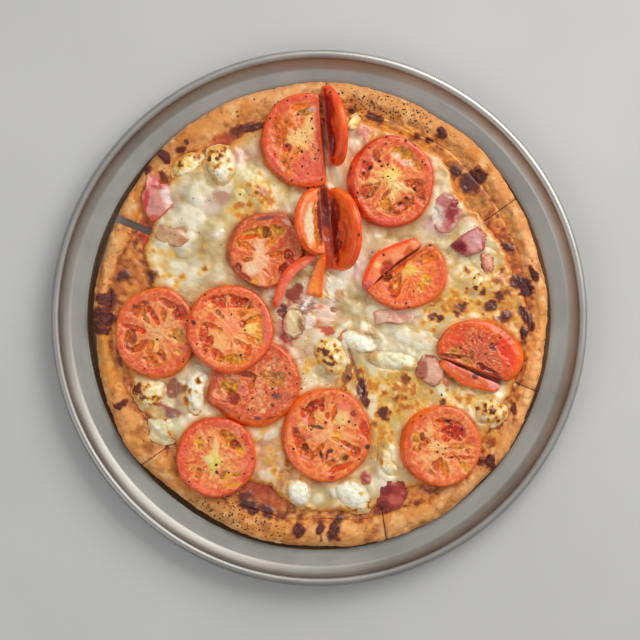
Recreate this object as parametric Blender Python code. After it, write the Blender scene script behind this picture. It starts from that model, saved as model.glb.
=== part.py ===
"""A tomato and ham pizza, cut in six, in its wide-rimmed aluminium pan.

The origin is the centre of the pan's underside and +Z is up. Sizes are in metres: MM turns the
millimetres written here into them.
"""

import math

import bmesh
import bpy
from mathutils import Matrix, Vector, noise
from mathutils.bvhtree import BVHTree

MM = 0.001

# Pan: a 14 inch sheet with a 12 inch well, a step, a gently rising flange, a wall and a rolled bead.
PAN_RADIUS = 178.0 * MM
PAN_HEIGHT = 18.0 * MM
PAN_SHEET = 1.2 * MM
PAN_WELL_RADIUS = 151.0 * MM
PAN_STEP_RADIUS = 156.0 * MM
PAN_STEP_HEIGHT = 6.2 * MM
PAN_FLANGE_RADIUS = 166.5 * MM
PAN_FLANGE_HEIGHT = 8.4 * MM
PAN_BEAD_RADIUS = 3.0 * MM
PAN_SEGMENTS = 64

# Pizza: its middle, its mean radius and how much longer it is along Y than along X.
GAP = 0.3 * MM
PIZZA_CENTRE = Vector((0.7 * MM, 2.0 * MM))
PIZZA_RADIUS = 152.6 * MM
PIZZA_OVAL = 2.0 * MM
# Where the outline swells or draws in: its angle and half width in degrees, and how far in millimetres.
PIZZA_BULGES = ((215, 13, 3.4), (301, 14, 2.6), (330, 20, 1.2), (158, 11, -2.2), (238, 10, -1.8))

# The three cuts cross at one point. Each ray is a cut's direction and how far it has opened, in degrees.
CUT_CENTRE = Vector((22.5 * MM, 2.0 * MM))
CUT_ANGLES = (35.5, 96.5, 157.7, 215.4, 278.5, 337.4)
CUT_OPENING = (0.15, 0.1, 0.9, 0.1, 0.15, 0.15)
KERF = 0.8 * MM
SLICE_SEGMENTS = 12

# Crust: flat under the topping, with a low rounded border that overhangs the pan's step.
CRUST_BOTTOM = PAN_SHEET + GAP
CRUST_FLOOR = 9.0 * MM
CRUST_CREST = 15.6 * MM
CRUST_BULGE_HEIGHT = 10.6 * MM
CRUST_FOOT_REACH = 148.3 * MM
CRUST_KNEE_REACH = 149.8 * MM

# How far inside the crust's outline the sauce and the cheese stop: angle in degrees, millimetres.
SAUCE_MARGINS = (
    (0, 10), (22, 13), (45, 15), (65, 17), (90, 17), (120, 19), (140, 11), (155, 12), (172, 10),
    (195, 12), (212, 20), (228, 20), (245, 16), (265, 18), (290, 17), (312, 12), (335, 11),
)
CHEESE_MARGINS = (
    (0, 15), (18, 20), (36, 30), (57, 21), (80, 23), (105, 24), (125, 24), (140, 18), (155, 24), (172, 36),
    (185, 26), (197, 17), (215, 25), (235, 26), (253, 35), (268, 23), (280, 22), (295, 27), (310, 19), (330, 16),
)
SAUCE_THICKNESS = 1.3 * MM
LAYER_LIFTS = (0.4 * MM, 2.2 * MM)
INNER_SHARE = 0.8
CHEESE_BOTTOM = CRUST_FLOOR + 2 * GAP + SAUCE_THICKNESS
CHEESE_THICKNESS = 2.8 * MM
CHEESE_EDGE = 0.9 * MM
CHEESE_STATIONS = 9
# Mounds in the melted cheese: place, radii, turn in degrees and height.
CHEESE_MOUNDS = (
    (-43, 83, 8, 17, 25, 2.4), (-75, 82, 20, 15, 0, 1.2), (57, -58, 22, 18, 0, 1.2), (-70, 40, 22, 12, -10, 1.4),
    (62, -12, 16, 9, 0, 1.2), (18, 100, 10, 12, 0, 1.4), (32, 48, 16, 9, 10, 1.2), (97, -78, 14, 8, 40, 1.0),
    (-22, -92, 12, 14, 0, 0.9), (30, -52, 8, 16, 10, 1.2), (100, 20, 14, 10, 0, 1.0), (-105, 62, 14, 10, 30, 1.0),
)

# Tomato slices lie on what is under them. Turn is in degrees; a tip is a corner that sticks out.
TOMATO_THICKNESS = 5.6
TOMATO_SIDES = 18
TOMATO_SHARES = (0.4, 0.78, 0.93, 1.0)

# Melted lumps of cheese: place, radii, turn and height. Sides and rings set how finely they are faceted.
LUMP_SIDES = 12
LUMP_SHARES = (0.45, 0.8, 1.0)
LUMPS = {
    "cheese_lump_1": ((-65, 101), (12.5, 15), 10, 6.5),
    "cheese_lump_2": ((-89, 101), (11.5, 8), 30, 4.5),
    "cheese_lump_3": ((-113, -50), (11.5, 11), 0, 6.0),
    "cheese_lump_4": ((-81, -48), (8.5, 18), -10, 5.5),
    "cheese_lump_5": ((-105, -73), (10, 9), 20, 4.0),
    "cheese_lump_6": ((-14.5, -116), (10, 10.5), 0, 6.0),
    "cheese_lump_7": ((21, -117), (14, 11), -35, 5.5),
    "cheese_lump_8": ((46.5, -96), (6, 9.5), 10, 4.5),
    "cheese_lump_9": ((6.5, -25), (9.5, 14), 32, 6.0),
    "cheese_lump_10": ((27, -19), (15, 8.5), -38, 4.5),
    "cheese_lump_11": ((54, -27), (18, 7.5), -8, 3.5),
    "cheese_lump_12": ((114, -61.5), (12, 8.5), -20, 6.0),
    "cheese_lump_13": ((105, 23), (5.5, 8), -20, 3.5),
    "cheese_lump_14": ((21, 129), (6, 7.5), 0, 3.5),
}

# Pieces of ham: place, radii, turn, thickness, and how many corners they show.
HAM_SHARES = (0.6, 1.0)
HAM = {
    "ham_1": ((-109, 77), (9.5, 15), 8, 3.2, 8),
    "ham_2": ((-98, 52), (12.5, 7), -12, 2.6, 8),
    "ham_3": ((102, 51), (8, 9), 15, 4.5, 8),
    "ham_4": ((86, 71), (7, 13.5), 25, 3.0, 8),
    "ham_5": ((50, 1), (13, 5), 0, 2.6, 8),
    "ham_6": ((74, -35), (7, 10), 35, 3.6, 8),
    "ham_7": ((48, -118), (8, 8.5), 10, 3.2, 8),
    "ham_8": ((-17, -4), (8, 10), 20, 2.8, 8),
    "ham_9": ((112, 36), (4.5, 5), 0, 2.6, 8),
}

SKY = 0.2
DOWN = Vector((0, 0, -1))
LIFT_PASSES = 60
# How closely a facet is felt for clearance.
FELT_SPACING = 0.9 * MM


def clear_scene():
    for obj in list(bpy.data.objects):
        bpy.data.objects.remove(obj, do_unlink=True)


def material(name, colour, roughness, metallic=0.0):
    made = bpy.data.materials.new(name)
    made.use_nodes = True
    shader = made.node_tree.nodes["Principled BSDF"]
    shader.inputs["Base Color"].default_value = (*colour, 1.0)
    shader.inputs["Roughness"].default_value = roughness
    shader.inputs["Metallic"].default_value = metallic
    made.diffuse_color = (*colour, 1.0)
    return made


def finish_of(name):
    """The material of a node, named after it."""
    for start, (colour, roughness, metallic) in FINISHES.items():
        if name.startswith(start):
            return material(name + "_finish", colour, roughness, metallic)
    raise ValueError(name)


FINISHES = {
    "pan": ((0.42, 0.41, 0.39), 0.32, 1.0),
    "crust": ((0.58, 0.33, 0.15), 0.75, 0.0),
    "sauce": ((0.42, 0.07, 0.015), 0.35, 0.0),
    "cheese": ((0.83, 0.74, 0.48), 0.4, 0.0),
    "tomato": ((0.68, 0.12, 0.035), 0.3, 0.0),
    "ham": ((0.65, 0.22, 0.22), 0.4, 0.0),
}


def place(name, mesh):
    """An object of this mesh, shaded smooth up to its sharp edges."""
    mesh.materials.append(finish_of(name))
    mesh.shade_smooth()
    mesh.set_sharp_from_angle(angle=math.radians(50))
    obj = bpy.data.objects.new(name, mesh)
    bpy.context.scene.collection.objects.link(obj)
    return obj


def mesh_of(name, points, faces):
    """A closed mesh in triangles, with its faces pointing out."""
    shape = bmesh.new()
    corners = [shape.verts.new(point) for point in points]
    for face in faces:
        shape.faces.new([corners[index] for index in face])
    bmesh.ops.recalc_face_normals(shape, faces=shape.faces)
    bmesh.ops.triangulate(shape, faces=shape.faces, quad_method="FIXED")
    mesh = bpy.data.meshes.new(name)
    shape.to_mesh(mesh)
    shape.free()
    return mesh


def bump(offset, half_width):
    """1 at no offset, falling smoothly to almost nothing at twice the half width."""
    return math.exp(-((offset / half_width) ** 2))


def turned_by(angle, towards):
    """The smallest turn from one angle to another, in degrees."""
    return (towards - angle + 180.0) % 360.0 - 180.0


def margin_at(angle, margins):
    """Reads a closed table of angles and millimetres, easing from each entry to the next."""
    angle %= 360.0
    for index, (start, here) in enumerate(margins):
        after, there = margins[(index + 1) % len(margins)]
        after += 360.0 if after <= start else 0.0
        if start <= angle < after:
            share = (angle - start) / (after - start)
            return (here + (there - here) * share * share * (3 - 2 * share)) * MM
    raise ValueError(angle)


def outline_radius(angle):
    """The crust's outer edge, from the pizza's centre."""
    oval = -PIZZA_OVAL * math.cos(math.radians(2 * angle))
    ripple = 0.5 * MM * math.sin(math.radians(9 * angle + 40)) + 0.4 * MM * math.sin(math.radians(17 * angle))
    bulges = sum(size * MM * bump(turned_by(angle, at), width) for at, width, size in PIZZA_BULGES)
    return PIZZA_RADIUS + oval + ripple + bulges


def sauce_radius(angle):
    ripple = 0.7 * MM * math.sin(math.radians(19 * angle + 130))
    return outline_radius(angle) - margin_at(angle, SAUCE_MARGINS) + ripple


def cheese_radius(angle):
    ripple = 0.9 * MM * math.sin(math.radians(14 * angle + 20)) + 0.5 * MM * math.sin(math.radians(23 * angle))
    return outline_radius(angle) - margin_at(angle, CHEESE_MARGINS) + ripple


def reach(start, direction, radius_at):
    """How far a ray from start runs before it leaves a curve that is drawn round the pizza's centre."""
    near, far = 0.0, 2 * PIZZA_RADIUS
    for _ in range(40):
        middle = (near + far) / 2
        point = start + direction * middle - PIZZA_CENTRE
        angle = math.degrees(math.atan2(point.y, point.x))
        if point.length < radius_at(angle):
            near = middle
        else:
            far = middle
    return near


def pan_reach(start, direction, radius):
    """How far a ray from start runs before it leaves a circle round the pan's centre."""
    along = start.dot(direction)
    return -along + math.sqrt(along * along + radius * radius - start.length_squared)


def cheese_depth(x, y):
    """How thick the melted cheese is, away from its edge."""
    rolling = 0.8 * MM * noise.noise(Vector((x, y, 0.0)) / (26 * MM))
    dimples = 0.4 * MM * noise.noise(Vector((x, y, 0.07)) / (11 * MM))
    mounds = 0.0
    for at_x, at_y, radius_x, radius_y, turn, height in CHEESE_MOUNDS:
        offset = Vector((x - at_x * MM, y - at_y * MM))
        offset.rotate(Matrix.Rotation(math.radians(-turn), 2))
        mounds += height * MM * bump(offset.x, radius_x * MM) * bump(offset.y, radius_y * MM)
    return CHEESE_THICKNESS + rolling + dimples + mounds


def crest_height(point):
    """The border's height varies a little round the crust."""
    return CRUST_CREST + 0.9 * MM * noise.noise(Vector((point.x, point.y, 0.01)) / (30 * MM))


class Slice:
    """One sixth of the pizza: its tip, and the rays that its layers are built on."""

    def __init__(self, index):
        after = (index + 1) % len(CUT_ANGLES)
        start = CUT_ANGLES[index]
        sweep = (CUT_ANGLES[after] - start) % 360.0
        middle = math.radians(start + sweep / 2)
        shift = KERF / 2 / math.sin(math.radians(sweep / 2))
        self.tip = CUT_CENTRE + shift * Vector((math.cos(middle), math.sin(middle)))
        first, last = start + CUT_OPENING[index], start + sweep - CUT_OPENING[after]
        self.rays = []
        for step in range(SLICE_SEGMENTS + 1):
            angle = math.radians(first + (last - first) * step / SLICE_SEGMENTS)
            self.rays.append(Vector((math.cos(angle), math.sin(angle))))

    def reaches(self, ray):
        """How far the cheese, the sauce and the crust reach along a ray."""
        return [reach(self.tip, ray, radius_at) for radius_at in (cheese_radius, sauce_radius, outline_radius)]

    def crust_section(self, ray):
        cheese, sauce, outer = self.reaches(ray)
        border = outer - sauce
        crest = crest_height(self.tip + ray * (outer - border / 2))
        knee = min(outer - 2.2 * MM, pan_reach(self.tip, ray, CRUST_KNEE_REACH))
        foot = min(outer - 4.2 * MM, pan_reach(self.tip, ray, CRUST_FOOT_REACH))
        return (
            (0.0, CRUST_FLOOR),
            (cheese * INNER_SHARE, CRUST_FLOOR),
            (cheese, CRUST_FLOOR + LAYER_LIFTS[0]),
            (sauce, CRUST_FLOOR + LAYER_LIFTS[1]),
            (sauce + 0.22 * border, crest - 2.0 * MM),
            (sauce + 0.5 * border, crest),
            (outer - 0.2 * border, crest - 1.2 * MM),
            (outer - 0.9 * MM, crest - 3.2 * MM),
            (outer, CRUST_BULGE_HEIGHT),
            (outer - 0.9 * MM, CRUST_BULGE_HEIGHT - 2.4 * MM),
            (knee, 5.6 * MM),
            (foot, CRUST_BOTTOM),
            (0.0, CRUST_BOTTOM),
        )

    def sauce_section(self, ray):
        cheese, sauce, _ = self.reaches(ray)
        inner = cheese * INNER_SHARE
        bottom = CRUST_FLOOR + GAP
        return (
            (0.0, bottom + SAUCE_THICKNESS),
            (inner, bottom + SAUCE_THICKNESS),
            (cheese, bottom + LAYER_LIFTS[0] + SAUCE_THICKNESS),
            (sauce - 1.2 * MM, bottom + LAYER_LIFTS[1] + 0.7 * MM),
            (sauce, bottom + LAYER_LIFTS[1]),
            (cheese, bottom + LAYER_LIFTS[0]),
            (inner, bottom),
            (0.0, bottom),
        )

    def cheese_section(self, ray):
        edge = self.reaches(ray)[0]
        section = [(0.0, CHEESE_BOTTOM + cheese_depth(*self.tip))]
        for station in range(1, CHEESE_STATIONS + 1):
            out = edge * 0.965 * station / CHEESE_STATIONS
            fade = 0.75 if station == CHEESE_STATIONS else 1.0
            section.append((out, CHEESE_BOTTOM + fade * cheese_depth(*(self.tip + ray * out))))
        section += (
            (edge, CHEESE_BOTTOM + LAYER_LIFTS[0] + CHEESE_EDGE),
            (edge, CHEESE_BOTTOM + LAYER_LIFTS[0]),
            (edge * INNER_SHARE, CHEESE_BOTTOM),
            (0.0, CHEESE_BOTTOM),
        )
        return section

    def build(self, name, section_of):
        """Lofts the section that each ray gives. A section starts above the tip and ends below it."""
        sections = [section_of(ray) for ray in self.rays]
        size = len(sections[0]) - 2
        points = [(*self.tip, sections[0][0][1]), (*self.tip, sections[0][-1][1])]
        for ray, section in zip(self.rays, sections):
            points += [(*(self.tip + ray * out), height) for out, height in section[1:-1]]

        def at(ray, corner):
            return 2 + ray * size + corner

        faces = []
        for ray in range(SLICE_SEGMENTS):
            faces.append((0, at(ray, 0), at(ray + 1, 0)))
            faces.append((1, at(ray + 1, size - 1), at(ray, size - 1)))
            for corner in range(size - 1):
                # Each strip is split the same way above and below, so that facing layers stay apart.
                outward = sections[ray][corner + 2][0] > sections[ray][corner + 1][0]
                near, far = (corner, corner + 1) if outward else (corner + 1, corner)
                faces.append((at(ray, near), at(ray, far), at(ray + 1, far), at(ray + 1, near)))
        for ray in (0, SLICE_SEGMENTS):
            faces.append((0, *(at(ray, corner) for corner in range(size)), 1))
        return place(name, mesh_of(name, points, faces))


def build_pan():
    """Turns the sheet's section about Z, from the middle of its upper face round the bead to its underside."""
    bead = Vector((PAN_RADIUS - PAN_BEAD_RADIUS, PAN_HEIGHT - PAN_BEAD_RADIUS))
    section = [
        (0.0, PAN_SHEET),
        (PAN_WELL_RADIUS - 1.0 * MM, PAN_SHEET),
        (PAN_WELL_RADIUS + 1.0 * MM, PAN_SHEET + 0.9 * MM),
        (PAN_STEP_RADIUS - 1.6 * MM, PAN_STEP_HEIGHT - 0.9 * MM),
        (PAN_STEP_RADIUS, PAN_STEP_HEIGHT),
        (PAN_FLANGE_RADIUS - 2.5 * MM, PAN_FLANGE_HEIGHT - 0.4 * MM),
        (PAN_FLANGE_RADIUS, PAN_FLANGE_HEIGHT + 0.4 * MM),
        (PAN_FLANGE_RADIUS + 3.4 * MM, PAN_FLANGE_HEIGHT + 3.2 * MM),
        (bead.x - PAN_BEAD_RADIUS, bead.y - 0.6 * MM),
    ]
    for degrees in range(170, -131, -30):
        angle = math.radians(degrees)
        section.append(tuple(bead + PAN_BEAD_RADIUS * Vector((math.cos(angle), math.sin(angle)))))
    section += [
        (bead.x - PAN_BEAD_RADIUS + 0.4 * MM, bead.y - 3.6 * MM),
        (PAN_FLANGE_RADIUS + 1.2 * MM, PAN_FLANGE_HEIGHT - 0.7 * MM),
        (PAN_STEP_RADIUS + 0.6 * MM, PAN_STEP_HEIGHT - PAN_SHEET),
        (PAN_WELL_RADIUS + 1.4 * MM, 0.0),
        (0.0, 0.0),
    ]
    mesh = bpy.data.meshes.new("pan")
    edges = [(index, index + 1) for index in range(len(section) - 1)]
    mesh.from_pydata([(out, 0.0, up) for out, up in section], edges, [])
    mesh.materials.append(finish_of("pan"))
    pan = bpy.data.objects.new("pan", mesh)
    bpy.context.scene.collection.objects.link(pan)
    turn = pan.modifiers.new("Turn", "SCREW")
    turn.axis = "Z"
    turn.steps = turn.render_steps = PAN_SEGMENTS
    turn.use_merge_vertices = True
    turn.merge_threshold = 0.00005
    turn.use_smooth_shade = True


def facet_shares(first, second, third):
    """Evenly spread points of a facet, as shares of its corners."""
    longest = max((first - second).length, (second - third).length, (third - first).length)
    parts = max(2, math.ceil(longest / FELT_SPACING))
    return [
        (one / parts, two / parts, (parts - one - two) / parts)
        for one in range(parts + 1) for two in range(parts + 1 - one)
    ]


class Terrain:
    """The upper side of everything that has been laid so far."""

    def __init__(self):
        self.pieces = []

    def add(self, obj):
        corners = [corner.co.copy() for corner in obj.data.vertices]
        faces = [tuple(face.vertices) for face in obj.data.polygons]
        across = [corner.x for corner in corners]
        along = [corner.y for corner in corners]
        box = (min(across), max(across), min(along), max(along))
        self.pieces.append((box, BVHTree.FromPolygons(corners, faces)))

    def height(self, x, y):
        top = CHEESE_BOTTOM
        for (left, right, front, back), tree in self.pieces:
            if left <= x <= right and front <= y <= back:
                hit = tree.ray_cast(Vector((x, y, SKY)), DOWN)[0]
                if hit is not None:
                    top = max(top, hit.z)
        return top

    def lift(self, corners, facets):
        """Raises corners until every facet clears what is below it by the gap."""
        floors = {}
        for facet in facets:
            first, second, third = (corners[index] for index in facet)
            floors[facet] = []
            for shares in facet_shares(first, second, third):
                point = first * shares[0] + second * shares[1] + third * shares[2]
                floors[facet].append((shares, self.height(point.x, point.y) + GAP))
        for _ in range(LIFT_PASSES):
            raised = False
            for facet, felt in floors.items():
                deepest, where = 0.0, None
                for shares, height in felt:
                    here = sum(corners[index].z * share for index, share in zip(facet, shares))
                    if height - here > deepest:
                        deepest, where = height - here, shares
                if deepest > 0.00001:
                    raised = True
                    strength = deepest / sum(share * share for share in where)
                    for index, share in zip(facet, where):
                        corners[index].z += strength * share
            if not raised:
                return


class Plan:
    """A piece seen from above: flat points, triangles between them and the points round its edge."""

    def __init__(self, points, facets, edge):
        self.points = points
        self.facets = facets
        self.edge = edge

    def links(self):
        near = {index: set() for index in range(len(self.points))}
        for facet in self.facets:
            for index in facet:
                near[index].update(facet)
        return near


def round_plan(centre, sides, shares, radius_at, keep=None):
    """Rings round a centre. radius_at gives the edge in metres, and keep is a chord that cuts it off."""
    centre = Vector(centre) * MM
    angles = [360.0 * side / sides for side in range(sides)]
    points = [centre.copy()]
    for share in shares:
        for angle in angles:
            way = Vector((math.cos(math.radians(angle)), math.sin(math.radians(angle))))
            radius = radius_at(angle)
            if keep:
                radius = min(radius, chord_reach(centre, way, keep))
            points.append(centre + way * radius * share)
    facets = [(0, 1 + side, 1 + (side + 1) % sides) for side in range(sides)]
    for ring in range(len(shares) - 1):
        inner, outer = 1 + ring * sides, 1 + (ring + 1) * sides
        for side in range(sides):
            after = (side + 1) % sides
            facets.append((inner + side, outer + side, outer + after))
            facets.append((inner + side, outer + after, inner + after))
    last = 1 + (len(shares) - 1) * sides
    return Plan(points, facets, list(range(last, last + sides)))


def chord_reach(centre, way, keep):
    """How far a ray from centre runs before it meets the chord through a point with a direction."""
    through, turn = keep
    along = Vector((math.cos(math.radians(turn)), math.sin(math.radians(turn))))
    normal = Vector((-along.y, along.x))
    distance = normal.dot(Vector(through) * MM - centre)
    towards = normal.dot(way)
    if distance * towards <= 0:
        return SKY
    return distance / towards


def strip_plan(stations, per_span=3):
    """A curved strip through stations, each a place and a half width in millimetres."""
    centres = [Vector(place_) for place_, _ in stations]
    rows = []
    for span in range(len(stations) - 1):
        before = centres[max(span - 1, 0)]
        start, end = centres[span], centres[span + 1]
        beyond = centres[min(span + 2, len(centres) - 1)]
        for step in range(per_span + (span == len(stations) - 2)):
            share = step / per_span
            rows.append((
                hermite(before, start, end, beyond, share),
                stations[span][1] + (stations[span + 1][1] - stations[span][1]) * share,
            ))
    points = []
    for index, (middle, half_width) in enumerate(rows):
        way = rows[min(index + 1, len(rows) - 1)][0] - rows[max(index - 1, 0)][0]
        side = Vector((-way.y, way.x)).normalized() * half_width
        for share in (-1.0, 0.0, 1.0):
            points.append((middle + side * share) * MM)
    facets = []
    for row in range(len(rows) - 1):
        for lane in range(2):
            here = 3 * row + lane
            facets += [(here, here + 3, here + 4), (here, here + 4, here + 1)]
    count = len(rows)
    edge = [3 * row for row in range(count)]
    edge += [3 * (count - 1) + 1]
    edge += [3 * row + 2 for row in reversed(range(count))]
    edge += [1]
    return Plan(points, facets, edge)


def hermite(before, start, end, beyond, share):
    """A smooth curve from start to end that heads for its neighbours."""
    leave, arrive = (end - before) / 2, (beyond - start) / 2
    squared, cubed = share * share, share * share * share
    return (
        start * (2 * cubed - 3 * squared + 1) + leave * (cubed - 2 * squared + share)
        + end * (3 * squared - 2 * cubed) + arrive * (cubed - squared)
    )


def evened(levels, links):
    return [sum(levels[near] for near in links[index]) / len(links[index]) for index in range(len(levels))]


def lay(name, plan, terrain, depths, edge_lift, inset, stiffness):
    """A piece that follows what it lies on. Its underside clears the terrain by the gap.

    depths are its thickness at each point, edge_lift how far its edge turns up, inset how far its upper
    edge draws in, and stiffness how little it sags between the high points under it.
    """
    floors = [terrain.height(*point) + GAP for point in plan.points]
    rim = set(plan.edge)
    links = plan.links()
    levels = list(floors)
    for _ in range(stiffness):
        levels = [max(floors[index], spread) for index, spread in enumerate(evened(levels, links))]
    corners = [Vector((*point, level)) for point, level in zip(plan.points, levels)]
    for index in rim:
        corners[index].z += edge_lift * MM
    terrain.lift(corners, plan.facets)
    levels = [corner.z for corner in corners]
    for _ in range(stiffness):
        levels = evened(levels, links)
    middle = sum(plan.points, Vector((0, 0))) / len(plan.points)
    tops = []
    for index, corner in enumerate(corners):
        depth = depths[index] * MM
        height = max(levels[index] + depth, corner.z + 0.62 * depth)
        flat = plan.points[index]
        if index in rim:
            flat = middle + (flat - middle) * (1.0 - inset)
        tops.append(Vector((*flat, height)))
    count = len(corners)
    faces = [tuple(reversed(facet)) for facet in plan.facets]
    faces += [tuple(index + count for index in facet) for facet in plan.facets]
    for here, after in zip(plan.edge, plan.edge[1:] + plan.edge[:1]):
        faces.append((here, after, after + count, here + count))
    obj = place(name, mesh_of(name, corners + tops, faces))
    terrain.add(obj)
    return obj


def tomato_radius(radius_x, radius_y, turn, tips, seed):
    """A slice's edge: an oval, slightly lobed, with any corners that stick out."""
    def radius_at(angle):
        local = math.radians(angle - turn)
        oval = 1.0 / math.hypot(math.cos(local) / radius_x, math.sin(local) / radius_y)
        lobes = 0.35 * math.sin(5 * local + seed)
        corners = sum(size * bump(turned_by(angle, at), width) for at, width, size in tips)
        return (oval + lobes + corners) * MM
    return radius_at


def lay_tomato(name, terrain, centre, radii, turn=0.0, keep=None, tips=(), thickness=TOMATO_THICKNESS):
    radius_at = tomato_radius(*radii, turn, tips, sum(centre))
    plan = round_plan(centre, TOMATO_SIDES, TOMATO_SHARES, radius_at, keep)
    depths = [thickness * (0.8 if index in plan.edge else 1.0) for index in range(len(plan.points))]
    lay(name, plan, terrain, depths, edge_lift=1.0, inset=0.035, stiffness=7)


def lay_strip(name, terrain, stations, thickness):
    plan = strip_plan(stations)
    lay(name, plan, terrain, [thickness] * len(plan.points), edge_lift=0.3, inset=0.08, stiffness=3)


def lay_lump(name, terrain, centre, radii, turn, height):
    radius_x, radius_y = radii

    def radius_at(angle):
        local = math.radians(angle - turn)
        oval = 1.0 / math.hypot(math.cos(local) / radius_x, math.sin(local) / radius_y)
        lobes = 0.07 * math.sin(3 * local + centre[0]) + 0.05 * math.sin(5 * local + centre[1])
        return oval * (1.0 + lobes) * MM

    plan = round_plan(centre, LUMP_SIDES, LUMP_SHARES, radius_at)
    depths = [height]
    for share in LUMP_SHARES:
        depths += [max(height * math.sqrt(1.0 - 0.8 * share * share), 2.0)] * LUMP_SIDES
    lay(name, plan, terrain, depths, edge_lift=0.2, inset=0.1, stiffness=2)


def lay_ham(name, terrain, centre, radii, turn, thickness, corners):
    """A torn piece with a few blunt corners."""
    radius_x, radius_y = radii

    def radius_at(angle):
        local = math.radians(angle - turn)
        squared = (abs(math.cos(local) / radius_x) ** 3 + abs(math.sin(local) / radius_y) ** 3) ** (1 / 3)
        return (1.0 + 0.06 * math.sin(4 * local + centre[0])) / squared * MM

    plan = round_plan(centre, corners + 2, HAM_SHARES, radius_at)
    lay(name, plan, terrain, [thickness] * len(plan.points), edge_lift=0.2, inset=0.06, stiffness=2)


def stand_half(name, terrain, middle, direction, half_length, rise, lean, side, thickness=5.8):
    """Half a slice on its cut edge. Its arc rises on one side (1 left, -1 right of the cut's direction).

    lean is the angle between the half slice and the ground, and rise its size square to the cut.
    """
    sides = 14
    outline = []
    for step in range(sides + 1):
        angle = math.pi * step / sides
        outline.append((half_length * math.cos(angle), rise * math.sin(angle) ** 0.85))
    lean = math.radians(lean)
    along = Vector((math.cos(math.radians(direction)), math.sin(math.radians(direction)), 0.0))
    across = Vector((-along.y, along.x, 0.0)) * side
    upward = across * math.cos(lean) + Vector((0, 0, math.sin(lean)))
    face = Vector((0, 0, math.cos(lean))) - across * math.sin(lean)
    base = Vector((*(Vector(middle) * MM), 0.0))
    points = []
    for back, shrink in ((0.0, 0.93), (thickness, 1.0)):
        for length, height in outline:
            low = 1.6 + (height - 1.6) * shrink if height > 1.6 else height
            points.append(base + (along * length * shrink + upward * low - face * back) * MM)
        points.append(base + (upward * rise * 0.45 - face * back) * MM)
    count = sides + 2
    faces = []
    for step in range(sides):
        faces.append((step, step + 1, sides + 1))
        faces.append((count + step + 1, count + step, count + sides + 1))
        faces.append((step + 1, step, count + step, count + step + 1))
    faces.append((sides, 0, sides + 1))
    faces.append((count, count + sides, count + sides + 1))
    faces.append((0, sides, count + sides, count))
    mesh = mesh_of(name, points, faces)
    shortfall = -SKY
    for face_ in mesh.polygons:
        first, second, third = (mesh.vertices[index].co for index in face_.vertices)
        for shares in facet_shares(first, second, third):
            point = first * shares[0] + second * shares[1] + third * shares[2]
            shortfall = max(shortfall, terrain.height(point.x, point.y) + GAP - point.z)
    for corner in mesh.vertices:
        corner.co.z += shortfall
    terrain.add(place(name, mesh))


def build_slices(terrain):
    for index in range(len(CUT_ANGLES)):
        piece = Slice(index)
        terrain.add(piece.build(f"crust_{index + 1}", piece.crust_section))
        terrain.add(piece.build(f"sauce_{index + 1}", piece.sauce_section))
        terrain.add(piece.build(f"cheese_{index + 1}", piece.cheese_section))


def build_tomatoes(terrain):
    """From the lowest to the ones that lie or stand on others."""
    lay_tomato("tomato_1", terrain, (-7.4, 117.5), (31.6, 31.8), keep=((2.2, 119), 95))
    lay_tomato("tomato_2", terrain, (47.4, 90.3), (28.8, 30.6))
    lay_tomato("tomato_3", terrain, (56.5, 29.5), (28.5, 23.8), keep=((53, 34.5), 35.5))
    lay_tomato("tomato_4", terrain, (-35.5, 45), (25.5, 25.0), tips=((60, 14, 2.0),))
    lay_tomato("tomato_7", terrain, (-107.7, -10.2), (27.5, 30.4))
    lay_tomato("tomato_9", terrain, (-42.4, -43.2), (29.8, 29.2), tips=((199, 12, 4.0),))
    lay_tomato("tomato_8", terrain, (-58.9, -7.3), (28.8, 29.2))
    lay_tomato("tomato_10", terrain, (-68.2, -92), (26.6, 26.8))
    lay_tomato("tomato_11", terrain, (4.6, -77.4), (29.8, 31.2))
    lay_tomato("tomato_12", terrain, (80.4, -84.7), (27.0, 27.0))
    lay_tomato("tomato_13", terrain, (106.8, -24), (29.0, 22.8), turn=-12, keep=((106, -35.4), -20))
    lay_strip("tomato_13_strip", terrain, (((80, -28.6), 2.2), ((97.3, -39.6), 5.2), ((119.5, -47), 2.6)), 4.5)
    lay_strip("tomato_3_strip", terrain, (((30, 19.5), 2.6), ((42, 37.5), 7.0), ((66.5, 51), 3.2)), 5.0)
    lay_strip("tomato_6_arc", terrain, (((-29, 7), 2.6), ((-20, 29), 3.6), ((-2, 42), 2.6)), 5.0)
    stand_half("tomato_1_half", terrain, (4.2, 127), 96, 27.5, 19.5, 62, -1)
    stand_half("tomato_5_left", terrain, (2.2, 64), 94.5, 22.5, 20.0, 42, 1)
    stand_half("tomato_5_right", terrain, (7.5, 58.5), 94.7, 28.0, 26.0, 52, -1)
    lay_strip("tomato_6_wedge", terrain, (((3.5, 42), 1.8), ((-1, 28), 4.0), ((-3.5, 14), 6.0)), 4.5)


def build_pizza():
    terrain = Terrain()
    build_slices(terrain)
    for name, sizes in HAM.items():
        lay_ham(name, terrain, *sizes)
    for name, sizes in LUMPS.items():
        lay_lump(name, terrain, *sizes)
    build_tomatoes(terrain)


clear_scene()
build_pan()
build_pizza()
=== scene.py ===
import math

import bpy
import numpy as np
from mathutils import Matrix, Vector, noise
from mathutils.bvhtree import BVHTree


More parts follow.
